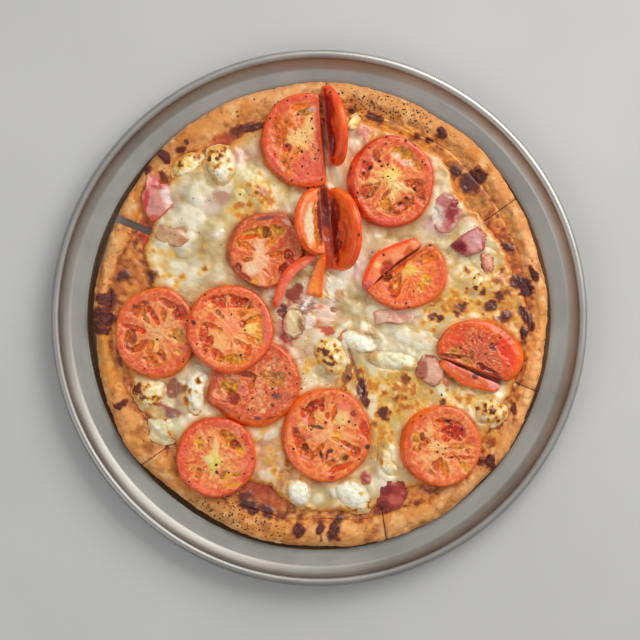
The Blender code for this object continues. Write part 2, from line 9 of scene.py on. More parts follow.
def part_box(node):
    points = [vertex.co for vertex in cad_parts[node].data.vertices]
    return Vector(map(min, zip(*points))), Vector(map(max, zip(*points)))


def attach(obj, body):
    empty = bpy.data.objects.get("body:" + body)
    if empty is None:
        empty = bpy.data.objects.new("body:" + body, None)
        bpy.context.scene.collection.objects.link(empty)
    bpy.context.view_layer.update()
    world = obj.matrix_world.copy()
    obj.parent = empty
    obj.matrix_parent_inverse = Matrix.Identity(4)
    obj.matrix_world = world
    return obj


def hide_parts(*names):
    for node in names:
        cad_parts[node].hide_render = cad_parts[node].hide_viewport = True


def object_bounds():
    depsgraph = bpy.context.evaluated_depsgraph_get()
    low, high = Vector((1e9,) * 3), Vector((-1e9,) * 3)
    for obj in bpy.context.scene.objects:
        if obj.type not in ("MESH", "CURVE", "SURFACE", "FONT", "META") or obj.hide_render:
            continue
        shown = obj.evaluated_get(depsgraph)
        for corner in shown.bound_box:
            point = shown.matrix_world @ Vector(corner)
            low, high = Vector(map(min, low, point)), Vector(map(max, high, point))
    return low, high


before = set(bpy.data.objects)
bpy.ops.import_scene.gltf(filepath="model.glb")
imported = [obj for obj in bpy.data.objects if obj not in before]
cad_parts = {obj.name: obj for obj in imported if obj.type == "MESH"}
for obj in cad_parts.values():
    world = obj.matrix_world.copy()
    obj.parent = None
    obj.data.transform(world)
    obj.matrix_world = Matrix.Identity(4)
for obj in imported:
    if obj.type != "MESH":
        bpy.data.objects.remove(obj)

# All layout sizes are in millimetres in the frame's axes. Meshes are written in metres.
MM = 0.001
CAD_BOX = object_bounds()

# The photo's plane: millimetres per pixel, and the pixel over the frame's origin.
PIXEL = 0.6617
PIXEL_ORIGIN = (319.0, 318.0)
PICTURE_MIDDLE = (320, 320)
CAMERA_HEIGHT = 1100.0
LENS = 92.0
SENSOR = 36.0

PIZZA_CENTRE = np.array((0.7, 2.0))
PIZZA_RADIUS = 152.6
PIZZA_OVAL = 2.0
PIZZA_BULGES = ((215, 13, 3.4), (301, 14, 2.6), (330, 20, 1.2), (158, 11, -2.2), (238, 10, -1.8))
CUT_CENTRE = np.array((22.5, 2.0))
CUT_ANGLES = (35.5, 96.5, 157.7, 215.4, 278.5, 337.4)
# How far each cut opens to both sides in degrees, the share of it that the crust shows, and the cut's own width.
CUT_OPENING = (0.05, 0.04, 0.9, 0.03, 0.05, 0.05)
CRUST_OPENING = 0.9
CRUST_KERF = 0.35
# How much stronger the paint is than the colour that is seen.
RICHNESS = 1.22
# Pairs of an angle in degrees and how far the layer's edge stays inside the crust's.
SAUCE_MARGINS = (
    (0, 10), (22, 13), (45, 15), (65, 17), (90, 17), (120, 19), (140, 11), (155, 12), (172, 10), (195, 12),
    (212, 20), (228, 20), (245, 16), (265, 18), (290, 17), (312, 12), (335, 11),
)
CHEESE_MARGINS = (
    (0, 15), (18, 20), (36, 30), (57, 21), (80, 23), (105, 24), (125, 24), (140, 18), (155, 24), (172, 36),
    (185, 26), (197, 17), (215, 25), (235, 26), (253, 35), (268, 23), (280, 22), (295, 27), (310, 19),
    (330, 16),
)
CRUST_BOTTOM = 1.5
CRUST_FLOOR = 9.0
SAUCE_BOTTOM = 9.3
SAUCE_LEVEL = 10.6
CHEESE_BOTTOM = 10.9
CHEESE_LEVEL = 11.35
CHEESE_THICKNESS = 2.8
# Mounds of cheese: place, radii, turn and height.
CHEESE_MOUNDS = (
    (-43, 83, 8, 17, 25, 2.4), (-75, 82, 20, 15, 0, 1.2), (57, -58, 22, 18, 0, 1.2),
    (-70, 40, 22, 12, -10, 1.4), (62, -12, 16, 9, 0, 1.2), (18, 100, 10, 12, 0, 1.4),
    (32, 48, 16, 9, 10, 1.2), (97, -78, 14, 8, 40, 1.0), (-22, -92, 12, 14, 0, 0.9),
    (30, -52, 8, 16, 10, 1.2), (100, 20, 14, 10, 0, 1.0), (-105, 62, 14, 10, 30, 1.0),
)


# Numbers and noise.

def spot(column, row):
    """The place under a pixel of the photo, in millimetres."""
    return np.array(((column - PIXEL_ORIGIN[0]) * PIXEL, (PIXEL_ORIGIN[1] - row) * PIXEL))


def smoothstep(low, high, value):
    share = np.clip((value - low) / (high - low), 0.0, 1.0)
    return share * share * (3 - 2 * share)


def hashed(column, row, seed):
    """An even random number from 0 to 1 for each cell of a lattice."""
    mixed = column.astype(np.int64).astype(np.uint64) * np.uint64(374761393)
    mixed = mixed + row.astype(np.int64).astype(np.uint64) * np.uint64(668265263) + np.uint64(seed * 97 + 13)
    mask = np.uint64(0xFFFFFFFF)
    mixed = mixed & mask
    for shift, factor in ((15, 2246822519), (13, 3266489917), (16, 668265263)):
        mixed = ((mixed ^ (mixed >> np.uint64(shift))) * np.uint64(factor)) & mask
    return (mixed ^ (mixed >> np.uint64(15))).astype(float) / 4294967296.0


def blended(low_left, low_right, high_left, high_right, across, up):
    """The value between four corners of a cell."""
    bottom = low_left * (1 - across) + low_right * across
    top = high_left * (1 - across) + high_right * across
    return bottom * (1 - up) + top * up


def value_noise(x, y, seed):
    """Smooth noise from -1 to 1 on a lattice of unit cells."""
    left, low = np.floor(x), np.floor(y)
    across, up = x - left, y - low
    across = across ** 3 * (across * (across * 6 - 15) + 10)
    up = up ** 3 * (up * (up * 6 - 15) + 10)
    corners = (hashed(column, row, seed) for row in (low, low + 1) for column in (left, left + 1))
    return blended(*corners, across, up) * 2 - 1


def fbm(x, y, size, octaves=3, seed=1):
    """Noise in octaves. Size is that of its largest cells."""
    total, weight, most = np.zeros_like(x, dtype=float), 1.0, 0.0
    for octave in range(octaves):
        scale = 2.03 ** octave / size
        total += weight * value_noise(x * scale + 17.3 * octave, y * scale - 9.1 * octave, seed + octave)
        most += weight
        weight *= 0.5
    return total / most


def cells(x, y, size, seed=1):
    """Distance to the nearest scattered point in cell sizes, and that point's random number."""
    x, y = np.asarray(x) / size, np.asarray(y) / size
    left, low = np.floor(x), np.floor(y)
    nearest = np.full(x.shape, 9.0)
    tag = np.zeros(x.shape)
    for across in (-1, 0, 1):
        for up in (-1, 0, 1):
            column, row = left + across, low + up
            away = np.hypot(column + hashed(column, row, seed) - x, row + hashed(column, row, seed + 7) - y)
            closer = away < nearest
            nearest = np.where(closer, away, nearest)
            tag = np.where(closer, hashed(column, row, seed + 19), tag)
    return nearest, tag


def turned_by(angle, towards):
    return (towards - angle + 180.0) % 360.0 - 180.0


def bump(offset, half_width):
    return np.exp(-((offset / half_width) ** 2))


def margin_at(angle, margins):
    angles = np.array([at for at, _ in margins] + [360.0])
    sizes = np.array([size for _, size in margins] + [margins[0][1]], dtype=float)
    angle = np.mod(angle, 360.0)
    index = np.clip(np.searchsorted(angles, angle, side="right") - 1, 0, len(margins) - 1)
    share = (angle - angles[index]) / (angles[index + 1] - angles[index])
    return sizes[index] + (sizes[index + 1] - sizes[index]) * share * share * (3 - 2 * share)


def outline_radius(angle):
    oval = -PIZZA_OVAL * np.cos(np.radians(2 * angle))
    ripple = 0.5 * np.sin(np.radians(9 * angle + 40)) + 0.4 * np.sin(np.radians(17 * angle))
    bulges = sum(size * bump(turned_by(angle, at), width) for at, width, size in PIZZA_BULGES)
    return PIZZA_RADIUS + oval + ripple + bulges


def sauce_radius(angle):
    return outline_radius(angle) - margin_at(angle, SAUCE_MARGINS) + 0.7 * np.sin(np.radians(19 * angle + 130))


def cheese_radius(angle):
    ripple = 0.9 * np.sin(np.radians(14 * angle + 20)) + 0.5 * np.sin(np.radians(23 * angle))
    return outline_radius(angle) - margin_at(angle, CHEESE_MARGINS) + ripple


def reaches(tip, rays, radius_at):
    """How far rays from a tip run before they leave a curve drawn round the pizza's centre."""
    near, far = np.zeros(len(rays)), np.full(len(rays), 300.0)
    for _ in range(32):
        middle = (near + far) / 2
        point = tip + rays * middle[:, None] - PIZZA_CENTRE
        inside = np.hypot(point[:, 0], point[:, 1]) < radius_at(np.degrees(np.arctan2(point[:, 1], point[:, 0])))
        near, far = np.where(inside, middle, near), np.where(inside, far, middle)
    return near


# Meshes.

def make_object(name, points, groups, finish, colours, extras=None, smooth_angle=50.0):
    """An object from points in millimetres and groups of polygons, each group with one number of corners."""
    mesh = bpy.data.meshes.new(name)
    points = np.asarray(points, dtype=np.float32) * MM
    mesh.vertices.add(len(points))
    mesh.vertices.foreach_set("co", points.ravel())
    groups = [np.asarray(group, dtype=np.int32) for group in groups if len(group)]
    corners = np.concatenate([group.ravel() for group in groups])
    totals = np.concatenate([np.full(len(group), group.shape[1], dtype=np.int32) for group in groups])
    starts = np.concatenate(([0], np.cumsum(totals)[:-1])).astype(np.int32)
    mesh.loops.add(len(corners))
    mesh.loops.foreach_set("vertex_index", corners)
    mesh.polygons.add(len(totals))
    mesh.polygons.foreach_set("loop_start", starts)
    mesh.polygons.foreach_set("loop_total", totals)
    mesh.update(calc_edges=True)
    mesh.validate()
    mesh.shade_smooth()
    if smooth_angle:
        mesh.set_sharp_from_angle(angle=math.radians(smooth_angle))
    paint(mesh, "Col", linear(enriched(colours)))
    for key, values in (extras or {}).items():
        attribute = mesh.attributes.new(key, "FLOAT", "POINT")
        attribute.data.foreach_set("value", np.asarray(values, dtype=np.float32).ravel())
    mesh.materials.append(finish)
    obj = bpy.data.objects.new(name, mesh)
    bpy.context.scene.collection.objects.link(obj)
    return obj


def paint(mesh, name, colours):
    layer = mesh.color_attributes.new(name, "FLOAT_COLOR", "POINT")
    rgba = np.ones((len(colours), 4), dtype=np.float32)
    rgba[:, :3] = colours
    layer.data.foreach_set("color", rgba.ravel())


def enriched(colours):
    """Shine washes out some of the colour, so the paint starts out stronger."""
    colours = np.asarray(colours, dtype=float)
    grey = colours.mean(axis=-1, keepdims=True)
    return grey + (colours - grey) * RICHNESS


def linear(colours):
    """From the 0 to 255 values seen on a screen to the light they stand for."""
    shares = np.clip(np.asarray(colours, dtype=float) / 255.0, 0.0, 1.0)
    return np.where(shares <= 0.04045, shares / 12.92, ((shares + 0.055) / 1.055) ** 2.4)


def grid_faces(rows, columns, start=0, closed=False):
    """Quads of a grid whose columns close on themselves when closed is set."""
    row = np.arange(rows - 1)[:, None]
    column = np.arange(columns if closed else columns - 1)[None, :]
    after = (column + 1) % columns
    first = start + row * columns + column
    second = start + row * columns + after
    return np.stack([first, second, second + columns, first + columns], axis=-1).reshape(-1, 4)


def mix(base, colour, share):
    return base + (np.asarray(colour, dtype=float) - base) * np.asarray(share)[..., None]


def patch(x, y, at, radii, turn=0.0, soft=0.3, warp=0.25, seed=5, grain=6.0):
    """A soft-edged oval, 1 inside and 0 outside, with an uneven edge. Place and radii are photo pixels."""
    centre = spot(*at)
    across, up = x - centre[0], y - centre[1]
    cos, sin = math.cos(math.radians(turn)), math.sin(math.radians(turn))
    longest = max(radii) * PIXEL * 2.2
    share = np.zeros(x.shape)
    near = (np.abs(across) < longest) & (np.abs(up) < longest)
    if not near.any():
        return share
    across, up = across[near], up[near]
    away = np.hypot(
        (across * cos + up * sin) / (radii[0] * PIXEL),
        (-across * sin + up * cos) / (radii[1] * PIXEL),
    )
    if warp:
        away = away + warp * fbm(x[near], y[near], grain, 3, seed)
    share[near] = smoothstep(1 + soft, 1 - soft, away)
    return share


def plain(x, colour):
    """One colour over a whole grid."""
    return np.zeros((*x.shape, 3)) + colour


def tinted(colour, x, y, tints, soft, warp, seed, grain):
    """Lays soft tints on a colour. Each is a pixel, radii in pixels, a turn, a colour and a strength."""
    for at, radii, turn, tint, strength in tints:
        colour = mix(colour, tint, strength * patch(x, y, at, radii, turn, soft, warp, seed, grain))
    return colour


def strongest(x, y, areas, soft, warp, seed, grain, least=0.0):
    """The strongest of many soft ovals. Each is a pixel, radii in pixels, a turn and a strength."""
    total = np.full(x.shape, least)
    for at, radii, turn, strength in areas:
        total = np.maximum(total, strength * patch(x, y, at, radii, turn, soft, warp, seed, grain))
    return total


def dots(x, y, places, warp):
    """The strongest of many round spots. Each place is a pixel, a radius in pixels and a strength."""
    ovals = [((column, row), (radius, radius), 0, strength) for column, row, radius, strength in places]
    return strongest(x, y, ovals, 0.7, warp, 3, 2.5)


def in_disc(chance):
    """A random place in a circle with a radius of 1."""
    angle, out = chance.uniform(0, 2 * math.pi), math.sqrt(chance.uniform())
    return out * math.cos(angle), out * math.sin(angle)


def scatter(seed, areas):
    """Seeded random spots: each area is a centre and radii in pixels, a count, sizes and strengths."""
    chance = np.random.default_rng(seed)
    places = []
    for (column, row), (radius_x, radius_y), count, sizes, strengths in areas:
        for _ in range(count):
            across, up = in_disc(chance)
            places.append((
                column + radius_x * across, row + radius_y * up,
                chance.uniform(*sizes), chance.uniform(*strengths),
            ))
    return places


# Frame's solids.

def tree_of(name):
    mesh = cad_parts[name].data
    corners = [corner.co / MM for corner in mesh.vertices]
    return BVHTree.FromPolygons(corners, [tuple(face.vertices) for face in mesh.polygons])


def felt(tree, x, y, down=True):
    """Heights of a solid over places, seen from above or from below. It is not a number where nothing is met."""
    start, way = (200.0, Vector((0, 0, -1))) if down else (-50.0, Vector((0, 0, 1)))
    heights = np.full(x.size, np.nan)
    for index, (across, up) in enumerate(zip(x.ravel(), y.ravel())):
        hit = tree.ray_cast(Vector((across, up, start)), way)[0]
        if hit is not None:
            heights[index] = hit.z
    return heights.reshape(x.shape)


def filled(heights):
    """Replaces what isn't a number by the nearest row's value, from the middle out."""
    for row in range(1, len(heights)):
        missing = np.isnan(heights[row])
        heights[row][missing] = heights[row - 1][missing]
    known = np.nanmean(heights)
    return np.where(np.isnan(heights), known, heights)


def evened(heights, passes):
    """Evens out heights on rings round a centre."""
    for _ in range(passes):
        around = (np.roll(heights, 1, axis=1) + np.roll(heights, -1, axis=1)) / 2
        inward, outward = heights.copy(), heights.copy()
        inward[1:], outward[:-1] = heights[:-1], heights[1:]
        heights = 0.4 * heights + 0.3 * around + 0.15 * inward + 0.15 * outward
        heights[0] = heights[1].mean()
    return heights


def resample(values, rows, columns):
    """Reads a coarse ring grid at a finer spacing."""
    row = rows * (values.shape[0] - 1)
    column = columns * values.shape[1]
    low, left = np.clip(np.floor(row).astype(int), 0, values.shape[0] - 2), np.floor(column).astype(int)
    up, across = row - low, column - left
    left, right = left % values.shape[1], (left + 1) % values.shape[1]
    corners = (values[line, place] for line in (low, low + 1) for place in (left, right))
    return blended(*corners, across, up)


# Materials.

def nodes_of(name):
    made = bpy.data.materials.new(name)
    made.use_nodes = True
    tree = made.node_tree
    return made, tree, tree.nodes["Principled BSDF"]


def node(tree, kind, settings=None, **inputs):
    made = tree.nodes.new(kind)
    for key, value in (settings or {}).items():
        setattr(made, key, value)
    for key, value in inputs.items():
        socket = made.inputs[int(key[1:])] if key[0] == "_" else made.inputs[key.replace("_", " ")]
        if isinstance(value, bpy.types.NodeSocket):
            tree.links.new(value, socket)
        else:
            socket.default_value = value
    return made


def ramp(tree, factor, stops):
    made = tree.nodes.new("ShaderNodeValToRGB")
    tree.links.new(factor, made.inputs["Fac"])
    while len(made.color_ramp.elements) < len(stops):
        made.color_ramp.elements.new(0.5)
    for element, (place, colour) in zip(made.color_ramp.elements, stops):
        element.position = place
        element.color = (*colour, 1.0)
    return made.outputs["Color"]


def blend(tree, kind, share, first, second):
    settings = {"data_type": "RGBA", "blend_type": kind}
    return node(tree, "ShaderNodeMix", settings, _0=share, _6=first, _7=second).outputs[2]


def sum_of(tree, operation, *values):
    inputs = {f"_{index}": value for index, value in enumerate(values)}
    return node(tree, "ShaderNodeMath", {"operation": operation}, **inputs).outputs[0]


def food_material(name, grain, strength, tint, wet, coat=0.0, flesh=0.0, flesh_radius=(4.0, 1.5, 0.8), pores=False):
    """Vertex colour with fine mottling, a wetness map for gloss, and fine bump. The flesh radius is in millimetres."""
    made, tree, shader = nodes_of(name)
    coords = node(tree, "ShaderNodeTexCoord").outputs["Object"]
    colour = node(tree, "ShaderNodeVertexColor", {"layer_name": "Col"}).outputs["Color"]
    speckle = node(tree, "ShaderNodeTexNoise", Vector=coords, Scale=grain, Detail=5.0, Roughness=0.65).outputs["Fac"]
    shade = ramp(tree, speckle, ((0.3, (1 - tint,) * 3), (0.7, (1.0,) * 3)))
    out, height = blend(tree, "MULTIPLY", 1.0, colour, shade), speckle
    if pores:
        out, height = pored(tree, coords, out, height)
    tree.links.new(out, shader.inputs["Base Color"])
    gloss = node(tree, "ShaderNodeAttribute", {"attribute_name": "Wet"}).outputs["Fac"]
    spread = node(tree, "ShaderNodeMapRange", Value=gloss, To_Min=wet[1], To_Max=wet[0]).outputs["Result"]
    tree.links.new(sum_of(tree, "MULTIPLY_ADD", speckle, 0.16, spread), shader.inputs["Roughness"])
    fine = node(tree, "ShaderNodeBump", Height=height, Strength=strength, Distance=0.0006)
    tree.links.new(fine.outputs["Normal"], shader.inputs["Normal"])
    shader.inputs["Coat Weight"].default_value = coat
    shader.inputs["Coat Roughness"].default_value = 0.18
    shader.inputs["Subsurface Weight"].default_value = flesh
    shader.inputs["Subsurface Radius"].default_value = flesh_radius
    shader.inputs["Subsurface Scale"].default_value = MM
    return made


def pored(tree, coords, colour, height):
    """Small pits, painted dark as shade, where the Pores attribute lets them show."""
    amount = node(tree, "ShaderNodeAttribute", {"attribute_name": "Pores"}).outputs["Fac"]
    for scale, size in ((420.0, 0.3), (250.0, 0.24)):
        spread = node(tree, "ShaderNodeTexVoronoi", Vector=coords, Scale=scale).outputs["Distance"]
        near = sum_of(tree, "SUBTRACT", sum_of(tree, "MULTIPLY", amount, size), spread)
        pit = node(tree, "ShaderNodeMapRange", Value=near, From_Min=0.0, From_Max=0.12).outputs["Result"]
        colour = blend(tree, "MIX", pit, colour, (0.06, 0.022, 0.01, 1.0))
        height = sum_of(tree, "SUBTRACT", height, pit)
    return colour, height


def metal_material():
    """Worn spun metal: fine rings round the middle, with soft smudges and scratches, and painted shade towards the
    lower left.
    """
    made, tree, shader = nodes_of("pan_aluminium")
    coords = node(tree, "ShaderNodeTexCoord").outputs["Object"]
    parts = node(tree, "ShaderNodeSeparateXYZ", Vector=coords)
    flat = node(tree, "ShaderNodeCombineXYZ", X=parts.outputs["X"], Y=parts.outputs["Y"])
    radius = node(tree, "ShaderNodeVectorMath", {"operation": "LENGTH"}, _0=flat.outputs[0]).outputs["Value"]
    rings_at = node(tree, "ShaderNodeCombineXYZ", X=radius, Y=parts.outputs["Z"])
    rings = node(tree, "ShaderNodeTexNoise", Vector=rings_at.outputs[0], Scale=900.0, Detail=4.0, Roughness=0.7)
    smudge = node(tree, "ShaderNodeTexNoise", Vector=coords, Scale=22.0, Detail=6.0, Roughness=0.6).outputs["Fac"]
    fleck = node(tree, "ShaderNodeTexNoise", Vector=coords, Scale=700.0, Detail=3.0, Roughness=0.6)
    tone = ramp(tree, smudge, ((0.3, (0.47, 0.45, 0.415)), (0.72, (0.58, 0.56, 0.52))))
    shaded = blend(tree, "MULTIPLY", 0.25, tone, rings.outputs["Color"])
    # Painted shade: the colour darkens towards the lower left, away from the window.
    lean = node(tree, "ShaderNodeVectorMath", {"operation": "DOT_PRODUCT"}, _0=coords, _1=(3.0, 5.0, 0.0))
    lower_left_painted_shade = node(tree, "ShaderNodeMapRange", Value=lean.outputs["Value"], From_Min=-1.0, From_Max=0.3, To_Min=0.76,
               To_Max=1.0)
    tree.links.new(blend(tree, "MULTIPLY", 1.0, shaded, lower_left_painted_shade.outputs["Result"]), shader.inputs["Base Color"])
    shader.inputs["Metallic"].default_value = 1.0
    rough = node(tree, "ShaderNodeMapRange", Value=smudge, From_Min=0.25, From_Max=0.75, To_Min=0.4, To_Max=0.54)
    tree.links.new(rough.outputs["Result"], shader.inputs["Roughness"])
    grooves = node(tree, "ShaderNodeBump", Height=rings.outputs["Fac"], Strength=0.12, Distance=0.0004)
    dents = node(tree, "ShaderNodeBump", Height=fleck.outputs["Fac"], Strength=0.05, Distance=0.0004,
                 Normal=grooves.outputs["Normal"])
    tree.links.new(dents.outputs["Normal"], shader.inputs["Normal"])
    return made


CRUST = food_material("baked_crust", 260.0, 0.22, 0.1, (0.45, 0.9), pores=True)
SAUCE = food_material("oily_sauce", 300.0, 0.35, 0.25, (0.2, 0.7), coat=0.3, flesh=0.1)
CHEESE = food_material("melted_cheese", 160.0, 0.12, 0.07, (0.16, 0.5), coat=0.4, flesh=0.2)
TOMATO = food_material("tomato_flesh", 420.0, 0.3, 0.16, (0.16, 0.55), coat=0.25, flesh=0.2,
                       flesh_radius=(5.0, 1.4, 0.8))
HAM = food_material("cooked_ham", 240.0, 0.25, 0.14, (0.2, 0.6), coat=0.2, flesh=0.2,
                    flesh_radius=(4.0, 1.4, 1.0))
PEPPER = food_material("ground_pepper", 900.0, 0.6, 0.4, (0.4, 0.8))


# What shows on the layers.

# Raised dark patches of burnt cheese and sauce: pixel, radii in pixels, turn, and how dark.
CHARS = (
    ((470, 180), (12, 10), 20, 1.0), ((456, 170), (8, 6), -20, 0.95), ((481, 176), (6, 7), 0, 0.9),
    ((521, 284), (8, 8), -40, 0.95), ((529, 291), (6, 5), 0, 0.9), ((528, 318), (5, 11), 20, 0.95),
    ((525, 332), (3, 8), 10, 0.8), ((443, 132), (4.2, 4.6), 30, 0.95), ((508, 246), (7, 4.5), -35, 0.95),
    ((534, 272), (3, 8), 25, 0.8), ((106, 301), (10, 11), 20, 1.0), ((103, 319), (10, 12), -10, 1.0),
    ((123, 276), (6, 5), 30, 0.75), ((152, 275), (6, 5), 0, 0.7), ((163, 156), (7, 4.5), -30, 0.95),
    ((148, 170), (4.5, 4), 0, 0.9), ((161, 174), (4, 7), 20, 0.7), ((186, 141), (3, 3), 0, 0.9),
    ((181, 149), (6, 4), 20, 0.75), ((248, 127), (11, 4), 10, 0.7), ((250, 507), (13, 6), -25, 1.0),
    ((266, 512), (6, 6), 0, 0.95), ((246, 497), (6, 4), 0, 0.7), ((299, 531), (5, 5), 0, 0.85),
    ((334, 531), (8, 12), -30, 0.95), ((322, 528), (6, 5), 0, 0.85), ((489, 463), (8, 6.5), -15, 0.95),
    ((120, 404), (7, 4), 25, 0.8), ((377, 117), (8, 3.5), -25, 0.75), ((418, 135), (4, 3.5), 0, 0.7),
    ((429, 139), (4, 3), 0, 0.75), ((515, 413), (3, 7), 0, 0.6), ((346, 128), (3, 2), 0, 0.6),
    ((351, 110), (4, 2.5), 0, 0.8), ((493, 305), (6, 5), 0, 0.7), ((504, 314), (5, 6), 0, 0.75),
    ((362, 389), (5, 9), -15, 1.0), ((366, 402), (3, 3), 0, 0.9), ((349, 378), (3.4, 3), 0, 0.85),
)

# Tints of the melted cheese: pixel, radii, turn, colour and strength.
CHEESE_TINTS = (
    ((190, 215), (34, 26), 0, (212, 206, 184), 0.8), ((228, 216), (24, 16), -10, (222, 196, 134), 0.75),
    ((205, 240), (24, 12), -20, (206, 184, 140), 0.7), ((262, 185), (24, 26), 40, (240, 222, 158), 0.75),
    ((247, 152), (20, 12), 0, (196, 140, 118), 0.8), ((212, 205), (12, 9), 0, (222, 200, 196), 0.7),
    ((222, 197), (9, 6), 0, (200, 165, 150), 0.7), ((345, 162), (20, 34), 0, (240, 212, 184), 0.7),
    ((357, 112), (14, 9), 0, (240, 205, 130), 0.8), ((366, 118), (8, 8), 0, (225, 150, 135), 0.6),
    ((385, 238), (30, 14), 0, (242, 220, 178), 0.8), ((436, 222), (14, 13), 0, (224, 186, 184), 0.75),
    ((430, 208), (12, 8), 0, (240, 232, 210), 0.7), ((355, 258), (12, 22), 0, (236, 196, 172), 0.7),
    ((450, 292), (26, 24), -30, (238, 222, 165), 0.7), ((495, 300), (24, 30), 0, (214, 160, 84), 0.7),
    ((410, 292), (34, 10), 0, (238, 218, 178), 0.6), ((400, 314), (26, 8), 0, (232, 190, 168), 0.75),
    ((450, 335), (32, 18), -10, (236, 226, 190), 0.7), ((400, 345), (26, 14), -20, (232, 226, 200), 0.7),
    ((398, 395), (34, 22), -15, (214, 178, 92), 0.75), ((372, 386), (10, 16), 0, (206, 168, 82), 0.6),
    ((390, 425), (18, 20), 0, (226, 205, 140), 0.6), ((436, 398), (26, 12), 0, (232, 218, 176), 0.5),
    ((310, 372), (22, 16), 0, (230, 212, 168), 0.8), ((318, 342), (10, 16), 0, (236, 222, 190), 0.7),
    ((300, 345), (10, 14), 0, (228, 180, 160), 0.6), ((262, 440), (22, 18), 20, (222, 172, 134), 0.8),
    ((290, 462), (16, 22), 0, (224, 178, 140), 0.6), ((180, 268), (28, 18), -20, (240, 233, 208), 0.8),
    ((214, 272), (14, 10), 0, (232, 216, 176), 0.6), ((163, 262), (8, 12), 20, (230, 190, 120), 0.6),
    ((185, 372), (18, 10), 0, (226, 206, 168), 0.6), ((176, 432), (22, 14), 10, (220, 214, 176), 0.8),
    ((150, 428), (8, 16), 0, (220, 190, 130), 0.7), ((320, 518), (36, 14), -5, (228, 220, 172), 0.8),
    ((345, 440), (12, 40), 0, (226, 200, 150), 0.4), ((492, 395), (28, 16), 0, (238, 222, 186), 0.6),
    ((535, 368), (8, 16), 0, (236, 216, 176), 0.7), ((470, 300), (14, 12), 0, (244, 236, 202), 0.6),
    ((320, 305), (16, 18), 0, (232, 196, 178), 0.6), ((338, 287), (9, 14), 0, (250, 244, 228), 0.9),
    ((308, 304), (8, 7), 0, (246, 238, 226), 0.8), ((356, 266), (6, 10), 0, (222, 190, 196), 0.8),
    ((369, 236), (8, 14), 0, (232, 206, 170), 0.7), ((165, 200), (10, 14), 20, (228, 206, 206), 0.8),
    ((392, 392), (36, 22), -15, (196, 146, 66), 0.6), ((470, 303), (36, 18), -20, (206, 156, 80), 0.55),
    ((508, 300), (13, 34), 0, (188, 116, 54), 0.7), ((258, 198), (24, 16), 35, (220, 184, 104), 0.5),
    ((440, 372), (22, 12), 0, (212, 170, 98), 0.5), ((384, 440), (10, 20), 0, (206, 164, 88), 0.5),
    ((297, 472), (18, 18), 0, (204, 136, 88), 0.6), ((266, 474), (14, 18), 0, (196, 118, 76), 0.6),
    ((322, 334), (26, 10), 30, (206, 150, 100), 0.6), ((346, 382), (8, 22), -10, (202, 152, 72), 0.7),
    ((470, 398), (22, 12), 0, (216, 178, 104), 0.5), ((150, 440), (12, 12), 0, (196, 170, 110), 0.6),
    ((184, 398), (8, 18), 0, (150, 96, 70), 0.6), ((168, 388), (8, 10), 0, (130, 74, 50), 0.5),
)

# Browned spots on the melted cheese: pixel, radius in pixels and strength.
CHEESE_SPOTS = (
    (257, 192, 5, 0.85), (271, 202, 4, 0.6), (244, 216, 4.5, 0.6), (262, 182, 3, 0.4), (251, 209, 3, 0.35),
    (183, 277, 3.2, 0.6), (204, 269, 3.4, 0.7), (176, 284, 4, 0.45), (170, 253, 4, 0.35),
    (467, 270, 4, 0.8), (462, 306, 6.5, 0.95), (457, 314, 4.4, 0.9), (444, 308, 4, 0.55),
    (433, 316, 4.5, 0.9), (441, 318, 4.5, 0.9), (500, 296, 6, 0.9), (493, 304, 6, 0.9), (508, 314, 5, 0.85),
    (455, 293, 6, 0.5), (434, 330, 3, 0.6), (423, 324, 3.5, 0.5), (384, 393, 3.6, 0.75),
    (397, 398, 3.6, 0.75), (406, 399, 3, 0.7), (383, 413, 7.5, 0.95), (375, 424, 4.5, 0.7),
    (431, 391, 3, 0.65), (444, 401, 4, 0.95), (406, 379, 5.5, 0.75), (404, 389, 4, 0.6),
    (369, 383, 4, 0.55), (458, 401, 6, 0.55), (455, 408, 4, 0.5), (420, 402, 3, 0.3), (350, 379, 3, 0.4),
    (360, 372, 5, 0.7), (390, 440, 4, 0.5), (376, 444, 3, 0.4), (500, 281, 4, 0.7), (330, 520, 4, 0.4),
    (322, 515, 3, 0.4), (305, 520, 4, 0.5), (270, 462, 4, 0.4), (276, 452, 3, 0.4), (486, 325, 4, 0.4),
    (452, 375, 3, 0.35), (470, 400, 3.4, 0.6), (414, 366, 3, 0.3),
)
CHEESE_SCATTER = scatter(
    11,
    (
        ((398, 395), (32, 24), 46, (1.2, 3.0), (0.3, 0.75)),
        ((492, 298), (28, 30), 42, (1.4, 3.6), (0.35, 0.85)),
        ((258, 195), (26, 26), 16, (1.0, 2.4), (0.25, 0.6)),
        ((448, 305), (26, 18), 14, (1.2, 3.0), (0.3, 0.7)),
        ((440, 330), (36, 22), 12, (0.9, 2.0), (0.25, 0.6)),
        ((290, 470), (28, 34), 14, (1.2, 3.0), (0.25, 0.6)),
        ((205, 262), (30, 16), 8, (1.0, 2.2), (0.2, 0.5)),
        ((470, 398), (30, 14), 16, (1.2, 2.8), (0.3, 0.7)),
        ((330, 515), (40, 14), 14, (1.0, 2.6), (0.25, 0.6)),
        ((160, 262), (14, 20), 12, (1.4, 3.0), (0.3, 0.7)),
        ((320, 320), (30, 30), 14, (1.0, 2.4), (0.3, 0.7)),
        ((385, 445), (14, 20), 10, (1.2, 3.0), (0.3, 0.7)),
        ((410, 345), (40, 24), 8, (0.8, 1.6), (0.2, 0.4)),
        ((370, 125), (22, 14), 8, (1.0, 2.2), (0.3, 0.6)),
    ),
)

